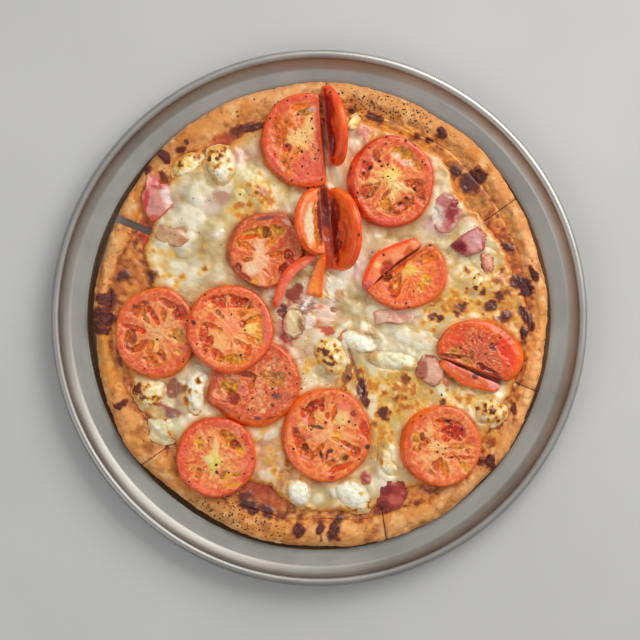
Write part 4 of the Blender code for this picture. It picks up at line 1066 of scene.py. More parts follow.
# Looks of each slice. Skin: where its side shows and how wide, in degrees and millimetres. Core: pixel, radii and
# colour. Wells: the juicy hollows, pixel, radii, turn, colour and depth. Marks: flat tints of the same kind.
RED, DEEP, RUST = (182, 60, 26), (146, 40, 18), (202, 86, 32)
LOOKS = {
    "tomato_1": {
        "middle": (299, 140), "flesh": (236, 146, 100), "rim": (224, 100, 78), "skin": (226, 70, 24),
        "side": (225, 2.4),
        "core": (((300, 139), (11, 10), (248, 216, 150)), ((309, 128), (6, 11), (246, 206, 146))),
        "wells": (
            ((279.6, 132), (5.5, 14), 0, (196, 72, 28), 1.3),
            ((289, 123.5), (7.5, 2.2), -50, (212, 84, 36), 0.8), ((285, 155), (2.4, 8), -25, RUST, 0.9),
            ((295, 154), (8, 1.8), 54, (224, 92, 52), 0.6), ((301, 108), (8, 3.2), 14, (222, 86, 24), 1.0),
            ((304, 113), (7, 2.4), 10, (170, 90, 56), 0.6), ((287, 148), (4, 3), 0, (198, 60, 40), 0.9),
            ((286, 168), (3, 8), 20, (222, 92, 40), 0.6),
        ),
        "marks": (
            ((312, 110), (5, 2.6), 0, (214, 176, 170), 0.9), ((308, 168), (13, 14), 0, (218, 104, 92), 0.6),
            ((318, 160), (3, 22), 0, (210, 92, 70), 0.5), ((318, 120), (3, 12), 0, (206, 96, 60), 0.6),
            ((276, 170), (3, 2), -40, (110, 50, 60), 0.8), ((283, 95), (16, 6), 20, (222, 104, 84), 0.5),
        ),
        "mottle": 0.35,
    },
    "tomato_2": {
        "middle": (391, 176), "flesh": (238, 158, 104), "rim": (228, 112, 78), "skin": (206, 48, 22),
        "side": (178, 3.0),
        "core": (
            ((391, 175), (9, 8), (250, 226, 128)), ((392, 188), (5, 13), (248, 220, 150)),
            ((403, 187), (12, 5), (248, 220, 160)), ((372, 184), (10, 5), (246, 206, 130)),
        ),
        "wells": (
            ((402.5, 154), (9, 4.8), -18, (204, 108, 34), 1.2),
            ((416, 165), (5.5, 3), -50, (206, 96, 30), 0.9), ((415, 183), (9, 3.4), 4, RED, 1.2),
            ((418.5, 191), (4.5, 9), 16, RED, 1.4), ((408, 201), (8.5, 4.6), 42, RED, 1.3),
            ((397, 208.5), (9, 4.6), 22, (192, 62, 26), 1.3),
            ((385.5, 206.5), (5.5, 6), 0, (204, 96, 40), 1.2),
            ((386, 194.5), (5.5, 1.4), 52, (208, 84, 58), 0.6),
            ((366.5, 192), (8, 5.5), 34, (186, 56, 28), 1.2),
            ((375.5, 187.5), (6.5, 2), 52, (196, 92, 48), 0.9),
            ((375.5, 156), (3.4, 5), 0, (190, 62, 34), 0.9), ((364, 174), (4, 7), -10, (192, 56, 34), 0.8),
            ((367.5, 166), (5, 4), 0, (196, 34, 20), 0.8),
        ),
        "marks": (
            ((397, 156), (4.4, 3.6), 0, (238, 196, 172), 0.9),
            ((407, 163), (7, 3), -10, (242, 206, 186), 0.9),
            ((362, 160), (8, 16), -10, (222, 112, 84), 0.5), ((388, 221), (14, 4), 0, (222, 96, 90), 0.5),
            ((420, 175), (12, 4), 5, (236, 140, 92), 0.5), ((411, 194), (5, 2.4), 30, (250, 190, 130), 0.6),
            ((384, 206), (2, 3.6), 10, (250, 190, 90), 0.6),
            ((396, 207), (1.4, 3), 10, (250, 190, 110), 0.6),
        ),
        "mottle": 0.5,
    },
    "tomato_3": {
        "middle": (409, 271), "flesh": (238, 134, 74), "rim": (232, 118, 78), "skin": (230, 76, 18),
        "side": (120, 3.0),
        "core": (((409.5, 271), (8.5, 7), (240, 206, 110)), ((407, 262), (4, 7), (240, 186, 110))),
        "wells": (
            ((409, 254), (5.5, 6.4), 0, (198, 92, 38), 1.1),
            ((428.5, 258), (9.5, 4.2), 27, (212, 84, 18), 1.4),
            ((386.5, 270), (5.5, 9), -12, (168, 58, 20), 1.5),
            ((394.5, 287), (5.2, 9.5), -14, (200, 60, 14), 1.5), ((398, 281), (2, 6), -15, RUST, 0.8),
            ((426.5, 279), (4.4, 3), -40, (236, 142, 44), 0.5),
            ((421.5, 287), (2, 4), 0, (232, 132, 54), 0.4), ((387, 277), (4, 3), 0, DEEP, 1.2),
        ),
        "marks": (
            ((384, 287), (9, 1.6), -52, (238, 150, 140), 0.8),
            ((393, 249), (2.5, 6), -20, (232, 104, 92), 0.7), ((398, 264), (7, 5), 30, (228, 122, 84), 0.6),
            ((377, 262), (3, 9), 20, (250, 190, 126), 0.6), ((386, 269), (1.6, 2), 0, (238, 160, 90), 0.8),
            ((395.5, 286), (1.4, 2.6), -30, (250, 180, 90), 0.8),
            ((425, 260.5), (3, 1.4), 20, (246, 170, 70), 0.8),
            ((408, 256), (1.2, 3), 0, (240, 160, 90), 0.7),
        ),
        "mottle": 0.15,
    },
    "tomato_4": {
        "middle": (260, 258), "flesh": (222, 122, 76), "rim": (208, 108, 62), "skin": (178, 66, 44),
        "side": (175, 1.6),
        "core": (
            ((260, 252), (6, 17), (250, 214, 178)), ((252, 268), (8.5, 7.5), (250, 230, 200)),
            ((262, 262), (9, 9), (244, 190, 150)), ((262, 286), (6, 12), (246, 180, 140)),
        ),
        "wells": (
            ((249, 234), (7, 3), 24, (206, 152, 66), 1.6), ((261.5, 232), (6, 4.4), 0, (206, 146, 52), 1.8),
            ((277, 230.5), (6, 3.8), -20, (208, 146, 50), 1.8),
            ((267, 232.5), (3.4, 4.6), 30, (160, 70, 34), 2.0),
            ((245.5, 246), (8, 2.8), -24, (214, 88, 34), 1.0),
            ((247.5, 260), (4.4, 1.3), 8, (212, 92, 60), 0.7),
            ((278, 254.5), (10, 2.4), 4, (216, 84, 30), 1.0),
            ((289, 257), (3.4, 8), 20, (184, 36, 10), 1.6),
            ((283.5, 268), (2.6, 6), -35, (146, 18, 10), 1.8),
            ((272, 240.5), (7.5, 2), 48, (226, 104, 40), 0.8),
            ((238, 270), (2.6, 5), 10, (150, 30, 16), 1.6),
            ((245.5, 277.5), (6.5, 2), -38, (166, 40, 18), 1.3),
            ((254.5, 283), (3.2, 3), 0, (232, 118, 36), 0.6),
            ((266.7, 272), (4, 1), -40, (196, 60, 24), 0.6), ((249, 237), (8, 1.6), 10, (206, 70, 26), 0.9),
        ),
        "marks": (
            ((266, 218), (12, 2), 10, (128, 78, 76), 0.85),
            # Painted highlights: the two pale pinkish-white marks at the right of the top rim.
            ((288, 223), (5, 2.4), -38, (240, 222, 226), 0.9),
            ((295, 230), (2.4, 4), 20, (236, 190, 190), 0.7), ((228, 262), (5, 12), 0, (186, 88, 52), 0.7),
            ((226, 279), (2.6, 7), 0, (214, 120, 66), 0.7), ((242, 280), (4, 2.6), 0, (228, 178, 150), 0.8),
            ((230, 245), (2, 12), -20, (156, 66, 44), 0.7),
        ),
        "mottle": 0.12,
    },
    "tomato_7": {
        "middle": (158, 333), "flesh": (232, 158, 112), "rim": (222, 104, 76), "skin": (226, 84, 36),
        "side": (285, 1.8),
        "core": (
            ((158, 333), (9, 8), (232, 178, 124)), ((148, 322), (3, 9), (236, 176, 116)),
            ((156, 345), (2.2, 9), (240, 190, 110)), ((168, 322), (4, 7), (228, 178, 120)),
        ),
        "wells": (
            ((141, 309), (8.5, 5), 32, RED, 1.5), ((153.5, 316), (8.5, 2), -60, (206, 60, 14), 1.3),
            ((145, 318), (6, 1.8), -48, (196, 84, 40), 0.9),
            ((163.4, 315), (2.2, 6), 4, (202, 82, 34), 1.2),
            ((169, 304), (9, 2.8), -28, (182, 56, 26), 1.3),
            ((180.5, 313.5), (5.5, 6), 0, (184, 42, 16), 1.6),
            ((134, 328), (11, 2.3), -14, (194, 48, 14), 1.3),
            ((130.5, 338), (4.5, 7.5), 0, (164, 56, 22), 1.7), ((141, 346), (8, 3), 32, (184, 60, 22), 1.4),
            ((128.5, 348), (5, 1.6), -42, (190, 70, 26), 1.0),
            ((150, 348), (2.2, 6.5), -24, (200, 84, 44), 1.1),
            ((154.5, 360), (9, 5), 4, (196, 76, 32), 1.4),
            ((161.5, 354.5), (2.4, 5), 10, (204, 74, 26), 1.1),
            ((175, 340), (7, 1.3), -34, (202, 102, 54), 0.8), ((175, 330), (4, 1), 5, (204, 104, 54), 0.7),
            ((178, 352), (4.5, 1.2), -20, (220, 116, 44), 0.6),
            ((179, 335), (5, 7), 0, (196, 112, 56), 0.5),
        ),
        "marks": (
            ((134, 297), (8, 6), 20, (226, 118, 78), 0.5), ((178, 295), (10, 3), -28, (230, 122, 76), 0.4),
        ),
        "mottle": 0.3,
    },
    "tomato_8": {
        "middle": (233, 333), "flesh": (240, 164, 108), "rim": (230, 112, 74), "skin": (222, 66, 24),
        "side": (210, 1.4),
        "core": (
            ((231, 327), (9, 10), (238, 150, 108)), ((218, 342), (12, 9), (246, 186, 128)),
            ((252, 328), (8, 6), (250, 214, 132)), ((237, 338), (9, 4), (246, 176, 116)),
        ),
        "wells": (
            ((226, 301.5), (17, 5), 3, (184, 36, 10), 1.7), ((243, 303), (9, 4), -12, (178, 36, 12), 1.6),
            ((212, 306), (5, 3), 20, (212, 84, 36), 1.2), ((243.5, 311), (7, 2.6), 52, (206, 86, 34), 1.0),
            ((254, 319.5), (9, 2.6), 18, (216, 96, 20), 1.2),
            ((242.5, 324.5), (2.8, 2.8), 0, (188, 50, 18), 1.2),
            ((260, 334), (3, 9), 5, (222, 116, 30), 1.0),
            ((252.5, 340), (8.5, 2.4), -30, (214, 92, 26), 1.2),
            ((242, 345), (7, 2.2), -34, (222, 78, 20), 1.1),
            ((248, 352), (2.4, 6), -20, (210, 70, 18), 1.1),
            ((204, 333), (3.4, 9.5), -8, (204, 56, 30), 1.3), ((211, 326), (8, 2), -14, (198, 58, 30), 1.0),
            ((208, 345), (3.4, 8), -28, (192, 52, 18), 1.4),
            ((218, 355), (8, 3.2), -38, (190, 52, 16), 1.5),
            ((234, 359.5), (11, 3.6), -4, (200, 98, 24), 1.5), ((220, 330), (3, 2), 0, (220, 104, 52), 0.6),
            ((222.5, 317), (1.6, 1.2), 0, (186, 70, 40), 0.8),
            ((218.5, 312.5), (1.6, 3), 30, (200, 90, 40), 0.8),
        ),
        "marks": (
            ((265, 322), (4, 16), 0, (228, 122, 104), 0.6), ((268, 341), (3, 12), 10, (216, 110, 110), 0.6),
            ((213, 362), (10, 4), -40, (240, 150, 90), 0.5),
            ((194.4, 322.6), (3, 2), -35, (40, 26, 30), 1.0),
        ),
        "villi": True, "mottle": 0.2,
    },
    "tomato_9": {
        "middle": (258, 394), "flesh": (220, 124, 84), "rim": (216, 104, 72), "skin": (212, 70, 20),
        "side": (248, 4.4),
        "core": (((260, 395), (3.6, 11), (238, 176, 130)), ((258, 384), (3, 8), (228, 150, 110))),
        "wells": (
            ((221, 391.5), (6.5, 4.6), 0, (236, 226, 214), 1.8),
            ((233.5, 398), (5, 5), 0, (138, 30, 14), 1.8), ((231, 386), (8, 6), 0, (206, 112, 52), 1.4),
            ((272.5, 366), (3.6, 7.5), -25, (226, 192, 188), 1.5),
            ((267, 376.5), (6.5, 4), -10, (204, 128, 62), 1.2),
            ((248, 374.5), (7, 2), -8, (150, 40, 20), 1.4), ((275, 380), (6, 6), 0, (188, 96, 62), 0.9),
            ((280, 376), (5, 4), 0, (176, 92, 66), 0.8), ((252, 384), (1.6, 6), -28, (204, 84, 34), 0.8),
            ((233, 378), (5, 2.4), 0, (238, 190, 170), 0.4),
        ),
        "marks": (
            ((276.7, 396), (4.4, 3.6), 0, (64, 22, 20), 1.0),
            ((272.6, 405), (2.2, 2), 0, (60, 26, 34), 1.0),
            ((295.4, 397), (1.8, 1.8), 0, (46, 24, 26), 1.0),
            ((275, 417.5), (7.5, 1.5), 12, (84, 22, 16), 0.95),
            ((257.5, 418), (3.2, 1.8), -15, (104, 52, 64), 0.9),
            ((243, 390), (5, 6), 10, (222, 122, 112), 0.6), ((281, 398), (9, 8), 0, (196, 112, 96), 0.5),
            ((213, 384), (3.6, 13), -24, (172, 74, 62), 0.9),
            ((226, 401.5), (2.6, 1), 0, (90, 40, 50), 0.9), ((259, 402), (9, 5), 0, (230, 156, 106), 0.5),
            ((263, 411), (3, 2.4), 0, (240, 206, 160), 0.7),
            ((264, 424), (6, 1.4), 0, (240, 160, 110), 0.6),
        ),
        "mottle": 0.9,
    },
    "tomato_10": {
        "middle": (215, 462), "flesh": (242, 172, 120), "rim": (226, 96, 70), "skin": (216, 62, 34),
        "side": (130, 0.8),
        "core": (
            ((215, 460), (8, 8), (232, 214, 122)), ((212, 466), (3, 10), (228, 206, 110)),
            ((216, 446), (3, 9), (242, 216, 150)), ((208, 459), (5, 4), (240, 222, 160)),
        ),
        "wells": (
            ((229, 440), (9.5, 5), -46, (204, 98, 28), 1.6),
            ((235.5, 445.5), (4.6, 3.6), -20, (186, 50, 12), 1.8),
            ((223, 435.5), (2.2, 4.6), 0, (206, 86, 34), 1.2),
            ((240, 451), (4, 2.6), -40, (220, 116, 40), 0.7),
            ((199.4, 442.5), (3.4, 5), 10, (234, 146, 56), 0.6),
            ((198.5, 472.5), (3, 4.4), 0, (216, 92, 52), 0.8),
            ((225.5, 475.5), (4.6, 4), 30, (224, 122, 84), 0.7),
            ((235, 474.5), (5, 1.3), 5, (226, 122, 44), 0.5),
            ((232, 485), (7, 1.6), 10, (224, 120, 56), 0.4), ((193, 468), (2, 1.6), 0, (220, 120, 56), 0.4),
        ),
        "marks": (
            ((182, 453), (7, 6), 0, (224, 108, 84), 0.6), ((246, 465), (9, 6), 0, (232, 124, 94), 0.5),
            ((225, 424), (8, 3), -20, (222, 116, 100), 0.5), ((206, 487), (6, 7), 0, (232, 132, 96), 0.5),
            ((228, 456), (6, 4), 0, (244, 190, 150), 0.5), ((238, 431), (2, 5), 20, (236, 200, 190), 0.5),
        ),
        "streaks": True, "mottle": 0.25,
    },
    "tomato_11": {
        "middle": (329, 432), "flesh": (244, 168, 116), "rim": (236, 134, 90), "skin": (228, 76, 22),
        "side": (160, 2.4),
        "core": (
            ((330, 428), (3, 12), (248, 196, 146)), ((322, 436), (10, 5), (248, 184, 136)),
            ((341, 418), (9, 9), (246, 208, 146)), ((318, 416), (6, 4), (240, 184, 116)),
            ((347, 436), (10, 4), (248, 180, 120)),
        ),
        "wells": (
            ((314, 405.5), (9, 3.6), 34, (176, 30, 22), 1.6),
            ((305.5, 413), (4.4, 4), 40, (186, 44, 22), 1.4), ((311, 421), (3, 7), 8, (202, 72, 34), 1.2),
            ((321.5, 406.5), (2.2, 4), 10, (184, 44, 30), 1.2),
            ((327.5, 415.5), (2, 3), 0, (196, 60, 40), 0.9),
            ((334, 412), (1.7, 8.5), -16, (214, 80, 30), 1.1),
            ((299.5, 441), (12, 4), -62, (190, 50, 20), 1.6),
            ((306, 453), (8, 4.6), -48, (200, 62, 30), 1.5),
            ((316, 452), (9.5, 2.2), 46, (206, 78, 26), 1.2), ((305, 447), (3, 3), 0, (160, 60, 26), 1.4),
            ((346.5, 444.5), (13, 1.7), -25, (204, 70, 22), 1.0),
            ((355, 452.5), (6.5, 3), 38, (196, 58, 18), 1.3),
            ((331.5, 464), (4.6, 4.6), 0, (206, 84, 52), 1.0),
            ((341, 467), (12, 2.2), 22, (204, 52, 16), 1.3),
            ((344.5, 458), (5, 3), 30, (176, 104, 52), 0.9), ((337.5, 437), (4, 4), 0, (234, 122, 80), 0.4),
            ((317, 427), (6, 1.2), -10, (120, 50, 36), 0.7), ((364, 430), (3, 8), 14, (196, 48, 18), 1.6),
        ),
        "marks": (
            ((343, 406), (6, 4), -20, (222, 112, 96), 0.7), ((353, 413), (3, 3), 0, (128, 52, 40), 0.8),
            ((321.2, 454.5), (1.7, 3.4), 15, (46, 26, 24), 1.0),
            ((330, 450.8), (3.6, 2), 10, (70, 34, 28), 0.95),
            ((327, 455.5), (1.2, 4.4), -12, (118, 36, 24), 0.9),
            ((308, 437), (5, 2), 0, (180, 96, 84), 0.6), ((345.5, 457.5), (2.4, 2.4), 0, (96, 44, 28), 0.9),
            ((331.6, 478), (2.4, 2.6), 0, (160, 44, 34), 0.9),
            ((355, 421.5), (7, 3), -35, (226, 140, 110), 0.6),
            ((306, 421), (2, 4), 10, (240, 160, 160), 0.8), ((368, 447), (3.4, 3), 30, (70, 64, 60), 1.0),
            ((292, 423), (4, 10), 0, (238, 130, 104), 0.4),
        ),
        "mottle": 0.3,
    },
    "tomato_12": {
        "middle": (442, 448), "flesh": (244, 164, 114), "rim": (234, 130, 92), "skin": (222, 74, 18),
        "side": (175, 4.6),
        "core": (
            ((436, 446), (8, 4), (250, 206, 142)), ((443, 448), (5, 5), (244, 196, 134)),
            ((430, 429), (3, 9), (250, 192, 132)), ((429, 457), (11, 4), (246, 186, 128)),
        ),
        "wells": (
            ((452.5, 429), (11, 7), -30, (172, 24, 10), 1.9),
            ((441.5, 421), (5, 3), 20, (196, 62, 24), 1.2), ((447, 437), (5, 3.6), 20, (184, 50, 30), 1.3),
            ((423, 442.5), (5.5, 3.4), 20, (190, 58, 26), 1.4),
            ((417, 449), (3, 2.6), 0, (200, 84, 50), 1.0), ((417, 438), (4, 5), 0, (240, 156, 76), 0.4),
            ((438, 465), (4, 6.6), -24, (192, 70, 48), 1.2), ((444.5, 470), (3, 7), 6, (208, 96, 24), 1.2),
            ((431.5, 473), (4.5, 1.8), -40, (168, 96, 72), 0.8),
            ((462, 446), (12, 1.9), 10, (214, 104, 78), 0.6),
            ((460, 457.7), (10, 1.1), 0, (206, 72, 30), 0.7),
            ((459.5, 463), (9, 1.2), -52, (214, 80, 28), 0.8),
            ((465, 468), (5, 3), -60, (232, 124, 52), 0.4), ((422, 437), (2, 3.4), 20, (176, 56, 20), 1.2),
            ((467, 451.5), (1.4, 2), 0, (198, 66, 30), 0.7),
        ),
        "marks": (
            ((447.5, 421.6), (2.3, 2.3), 0, (36, 16, 20), 1.0),
            ((446.5, 424), (2.2, 1.6), 0, (240, 168, 100), 0.8),
            ((456, 424), (6, 1), -25, (236, 150, 110), 0.7), ((471, 441), (4, 3), 0, (206, 92, 66), 0.7),
            ((451.6, 457.2), (1.6, 1.4), 0, (140, 30, 20), 0.9),
            ((440, 474), (16, 5), 10, (236, 126, 96), 0.4),
        ),
        "streaks": True, "mottle": 0.2,
    },
    "tomato_13": {
        "middle": (479, 354), "flesh": (196, 88, 48), "rim": (226, 92, 36), "skin": (228, 76, 16),
        "side": (20, 4.5),
        "core": (((477, 352), (12, 7), (196, 96, 60)), ((486, 362), (8, 6), (186, 90, 50))),
        "wells": (
            ((454, 351), (5, 3), 30, (204, 106, 62), 0.6), ((466, 360), (7, 3), -20, (176, 84, 46), 0.7),
            ((471, 355), (2, 4), 0, (170, 64, 40), 0.8), ((493.8, 347), (4, 3), -20, (110, 34, 50), 0.8),
            ((480, 366.5), (3, 2.6), 0, (150, 34, 18), 0.9),
            ((490, 372), (10, 2.4), -30, (140, 24, 10), 1.2),
            ((503, 352), (2.2, 12), 36, (224, 60, 16), 0.6),
            ((450, 356), (10, 1.6), -6, (134, 28, 14), 1.1),
        ),
        "marks": (
            ((508, 352), (9, 18), 24, (234, 72, 16), 0.95), ((488, 328), (18, 5), -22, (240, 112, 44), 0.8),
            ((494, 330), (3, 6), 30, (246, 178, 150), 0.8), ((457, 338), (9, 7), 30, (214, 72, 30), 0.7),
            ((512, 344), (2, 9), 38, (250, 170, 120), 0.6),
            ((502, 370.5), (2.6, 5), 10, (222, 110, 74), 0.7),
            ((461, 368), (5, 2.6), -10, (176, 96, 50), 0.7),
            ((471.8, 340.5), (1.1, 1.1), 0, (60, 20, 20), 1),
            ((479, 337.5), (1.1, 1.3), 0, (96, 20, 20), 1),
            ((485.2, 354.2), (1.5, 1.2), 0, (104, 30, 24), 1),
            ((460.6, 348), (1.4, 1.2), -30, (90, 26, 24), 1), ((508, 366), (1.4, 1.2), 0, (96, 20, 16), 1),
        ),
        "mottle": 0.6,
    },
}


def chord_reach(centre, ways, keep):
    """How far rays from the centre run to a straight cut through a place at a turn."""
    through, turn = keep
    normal = np.array((-math.sin(math.radians(turn)), math.cos(math.radians(turn))))
    distance = normal @ (np.array(through, dtype=float) - centre)
    towards = ways @ normal
    meets = distance * towards > 0
    return np.where(meets, distance / np.where(meets, towards, 1.0), 999.0)


def tomato_outline(name, angles):
    """A slice's edge in millimetres from its centre, for angles in degrees."""
    centre, (radius_x, radius_y), turn, keep, tips = TOMATOES[name]
    local = np.radians(angles - turn)
    radius = 1.0 / np.hypot(np.cos(local) / radius_x, np.sin(local) / radius_y)
    radius = radius + 0.35 * np.sin(5 * local + sum(centre))
    for at, width, size in tips:
        radius = radius + size * bump(turned_by(angles, at), width)
    if keep:
        ways = np.stack((np.cos(np.radians(angles)), np.sin(np.radians(angles))), axis=1)
        radius = np.minimum(radius, chord_reach(np.array(centre, dtype=float), ways, keep))
    return radius


RIM_ANGLES = np.arange(0.0, 360.0, 1.0)
RIMS = {name: tomato_outline(name, RIM_ANGLES) for name in TOMATOES}


def outside(x, y):
    """How far outside the nearest tomato slice's edge a place is, in millimetres. Inside it is negative."""
    nearest = np.full(x.shape, 99.0)
    for name, rim in RIMS.items():
        centre = TOMATOES[name][0]
        across, up = x - centre[0], y - centre[1]
        away = np.hypot(across, up)
        near = away < 40
        angle = np.mod(np.degrees(np.arctan2(up[near], across[near])), 360.0)
        nearest[near] = np.minimum(nearest[near], away[near] - rim[angle.astype(int) % 360])
    return nearest


def tomato_swell(x, y):
    """Melted cheese stands a little higher against a slice, and dips under it."""
    away = outside(x, y)
    return 1.0 * np.exp(-((away - 0.5) / 3.0) ** 2) - 0.6 * smoothstep(-2.0, -6.0, away)


def tomato_halo(x, y):
    return np.exp(-(np.clip(outside(x, y), 0, 99) / 2.6) ** 2)


def topping_swell(x, y):
    """Melted cheese rises against lumps and ham."""
    swell = np.zeros_like(x)
    for toppings, height in ((LUMPS, 1.3), (HAM_PIECES, 0.8)):
        for centre, corners in ((np.array(entry[0]), entry[1]) for entry in toppings.values()):
            reach = rounded_reach(centre, corners, RIM_ANGLES)
            across, up = x - centre[0], y - centre[1]
            away = np.hypot(across, up)
            near = away < reach.max() + 9.0
            angle = np.mod(np.degrees(np.arctan2(up[near], across[near])), 360.0).astype(int) % 360
            rise = height * np.exp(-((away[near] - reach[angle]) / 3.0) ** 2)
            swell[near] = np.maximum(swell[near], rise)
    return swell


def close_disc(name, rings, colours, extras, finish, centre=None):
    """Joins rings from the middle of the top to the middle of the underside, or over a centre when one is given."""
    rows, columns = rings.shape[:2]
    first, last = rings[0].mean(axis=0), rings[-1].mean(axis=0)
    if centre is not None:
        first[:2], last[:2] = centre, centre
    points = np.concatenate((rings.reshape(-1, 3), (first, last)))
    quads = grid_faces(rows, columns, 0, True)[:, ::-1]
    column = np.arange(columns)
    after = (column + 1) % columns
    count = rows * columns
    cap = np.stack((np.full(columns, count), column, after), axis=1)
    base = (rows - 1) * columns
    foot = np.stack((np.full(columns, count + 1), base + after, base + column), axis=1)
    colours = np.concatenate((colours.reshape(-1, 3), colours[0].mean(axis=0, keepdims=True),
                              colours[-1].mean(axis=0, keepdims=True)))
    extras = {
        key: np.concatenate((value.ravel(), [value[0].mean(), value[-1].mean()])) for key, value in extras.items()
    }
    return make_object(name, points, (quads, cap, foot), finish, colours, extras)


def ring_heights(node_name, centre, rim_coarse, down, passes):
    """Heights of the frame's solid on a coarse grid of rings, evened out. Shares run to the edge."""
    tree = tree_of(node_name)
    columns = len(rim_coarse)
    shares = np.linspace(0.0, 1.0, 15)
    angles = np.arange(columns) * 2 * math.pi / columns
    felt_shares = np.minimum(shares, 0.93)
    x = centre[0] + felt_shares[:, None] * rim_coarse * np.cos(angles)
    y = centre[1] + felt_shares[:, None] * rim_coarse * np.sin(angles)
    return evened(filled(felt(tree, x, y, down)), passes)


def round_piece(name, node_name, centre, rim_at, finish, paint_top, paint_side, rings=50, sectors=168,
                side_width=None, wall=6, passes=5, inset=0.03, dome=0.0, top_drop=0.0):
    """A round piece over a node: its top follows the node's, with its own relief and colours."""
    centre = np.array(centre, dtype=float)
    angles = np.arange(sectors) * 360.0 / sectors
    rim = rim_at(angles)
    coarse = rim_at(np.arange(48) * 7.5)
    tops = ring_heights(node_name, centre, coarse, True, passes)
    bottoms = ring_heights(node_name, centre, coarse, False, passes)
    ways = np.stack((np.cos(np.radians(angles)), np.sin(np.radians(angles))), axis=1)
    width = np.full(sectors, inset) * rim.max()
    if side_width:
        width = width + side_width(angles)
    top_rim = np.maximum(rim - width, 0.5 * rim)
    shares = np.linspace(0.0, 1.0, rings + 1)[1:] ** 0.92
    reach_out = shares[:, None] * top_rim
    x = centre[0] + reach_out * ways[:, 0]
    y = centre[1] + reach_out * ways[:, 1]
    rows = reach_out / rim
    columns = np.broadcast_to(angles / 360.0, rows.shape)
    top = resample(tops, np.clip(rows, 0, 1), columns) - top_drop
    s = shares[:, None] + np.zeros_like(x)
    ground = resample(bottoms, np.ones((1, sectors)), angles[None, :] / 360.0)
    top = top + dome * (ground + (top - ground) * np.clip(1 - s ** 3, 0, 1) ** 0.7 - top)
    relief, colour, wet = paint_top(x, y, s)
    top = top + relief
    stations = np.linspace(0, 1, wall + 2)[1:]
    sweep = np.sin(stations * math.pi / 2)[:, None]
    fall = (1 - np.cos(stations * math.pi / 2))[:, None]
    side_out = top_rim + (rim - top_rim) * sweep
    side_up = top[-1] + (ground[0] + 0.05 - top[-1]) * fall
    side_x = centre[0] + side_out * ways[:, 0]
    side_y = centre[1] + side_out * ways[:, 1]
    side_colour, side_wet = paint_side(side_x, side_y, stations[:, None] + np.zeros_like(side_x))
    under_shares = np.array((0.93, 0.6, 0.25))[:, None]
    under_up = resample(bottoms, under_shares + np.zeros((3, sectors)), columns[:3])
    under = np.stack((centre[0] + under_shares * rim * ways[:, 0], centre[1] + under_shares * rim * ways[:, 1],
                      under_up), axis=-1)
    ring_points = np.concatenate((
        np.stack((x, y, top), axis=-1), np.stack((side_x, side_y, side_up), axis=-1), under,
    ))
    colours = np.concatenate((colour, side_colour, np.repeat(side_colour[-1:], 3, 0)))
    wetness = np.concatenate((wet, side_wet, np.repeat(side_wet[-1:], 3, 0)))
    piece = close_disc(name, ring_points, colours, {"Wet": wetness}, finish, centre)
    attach(piece, "root")
    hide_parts(node_name)
    return piece


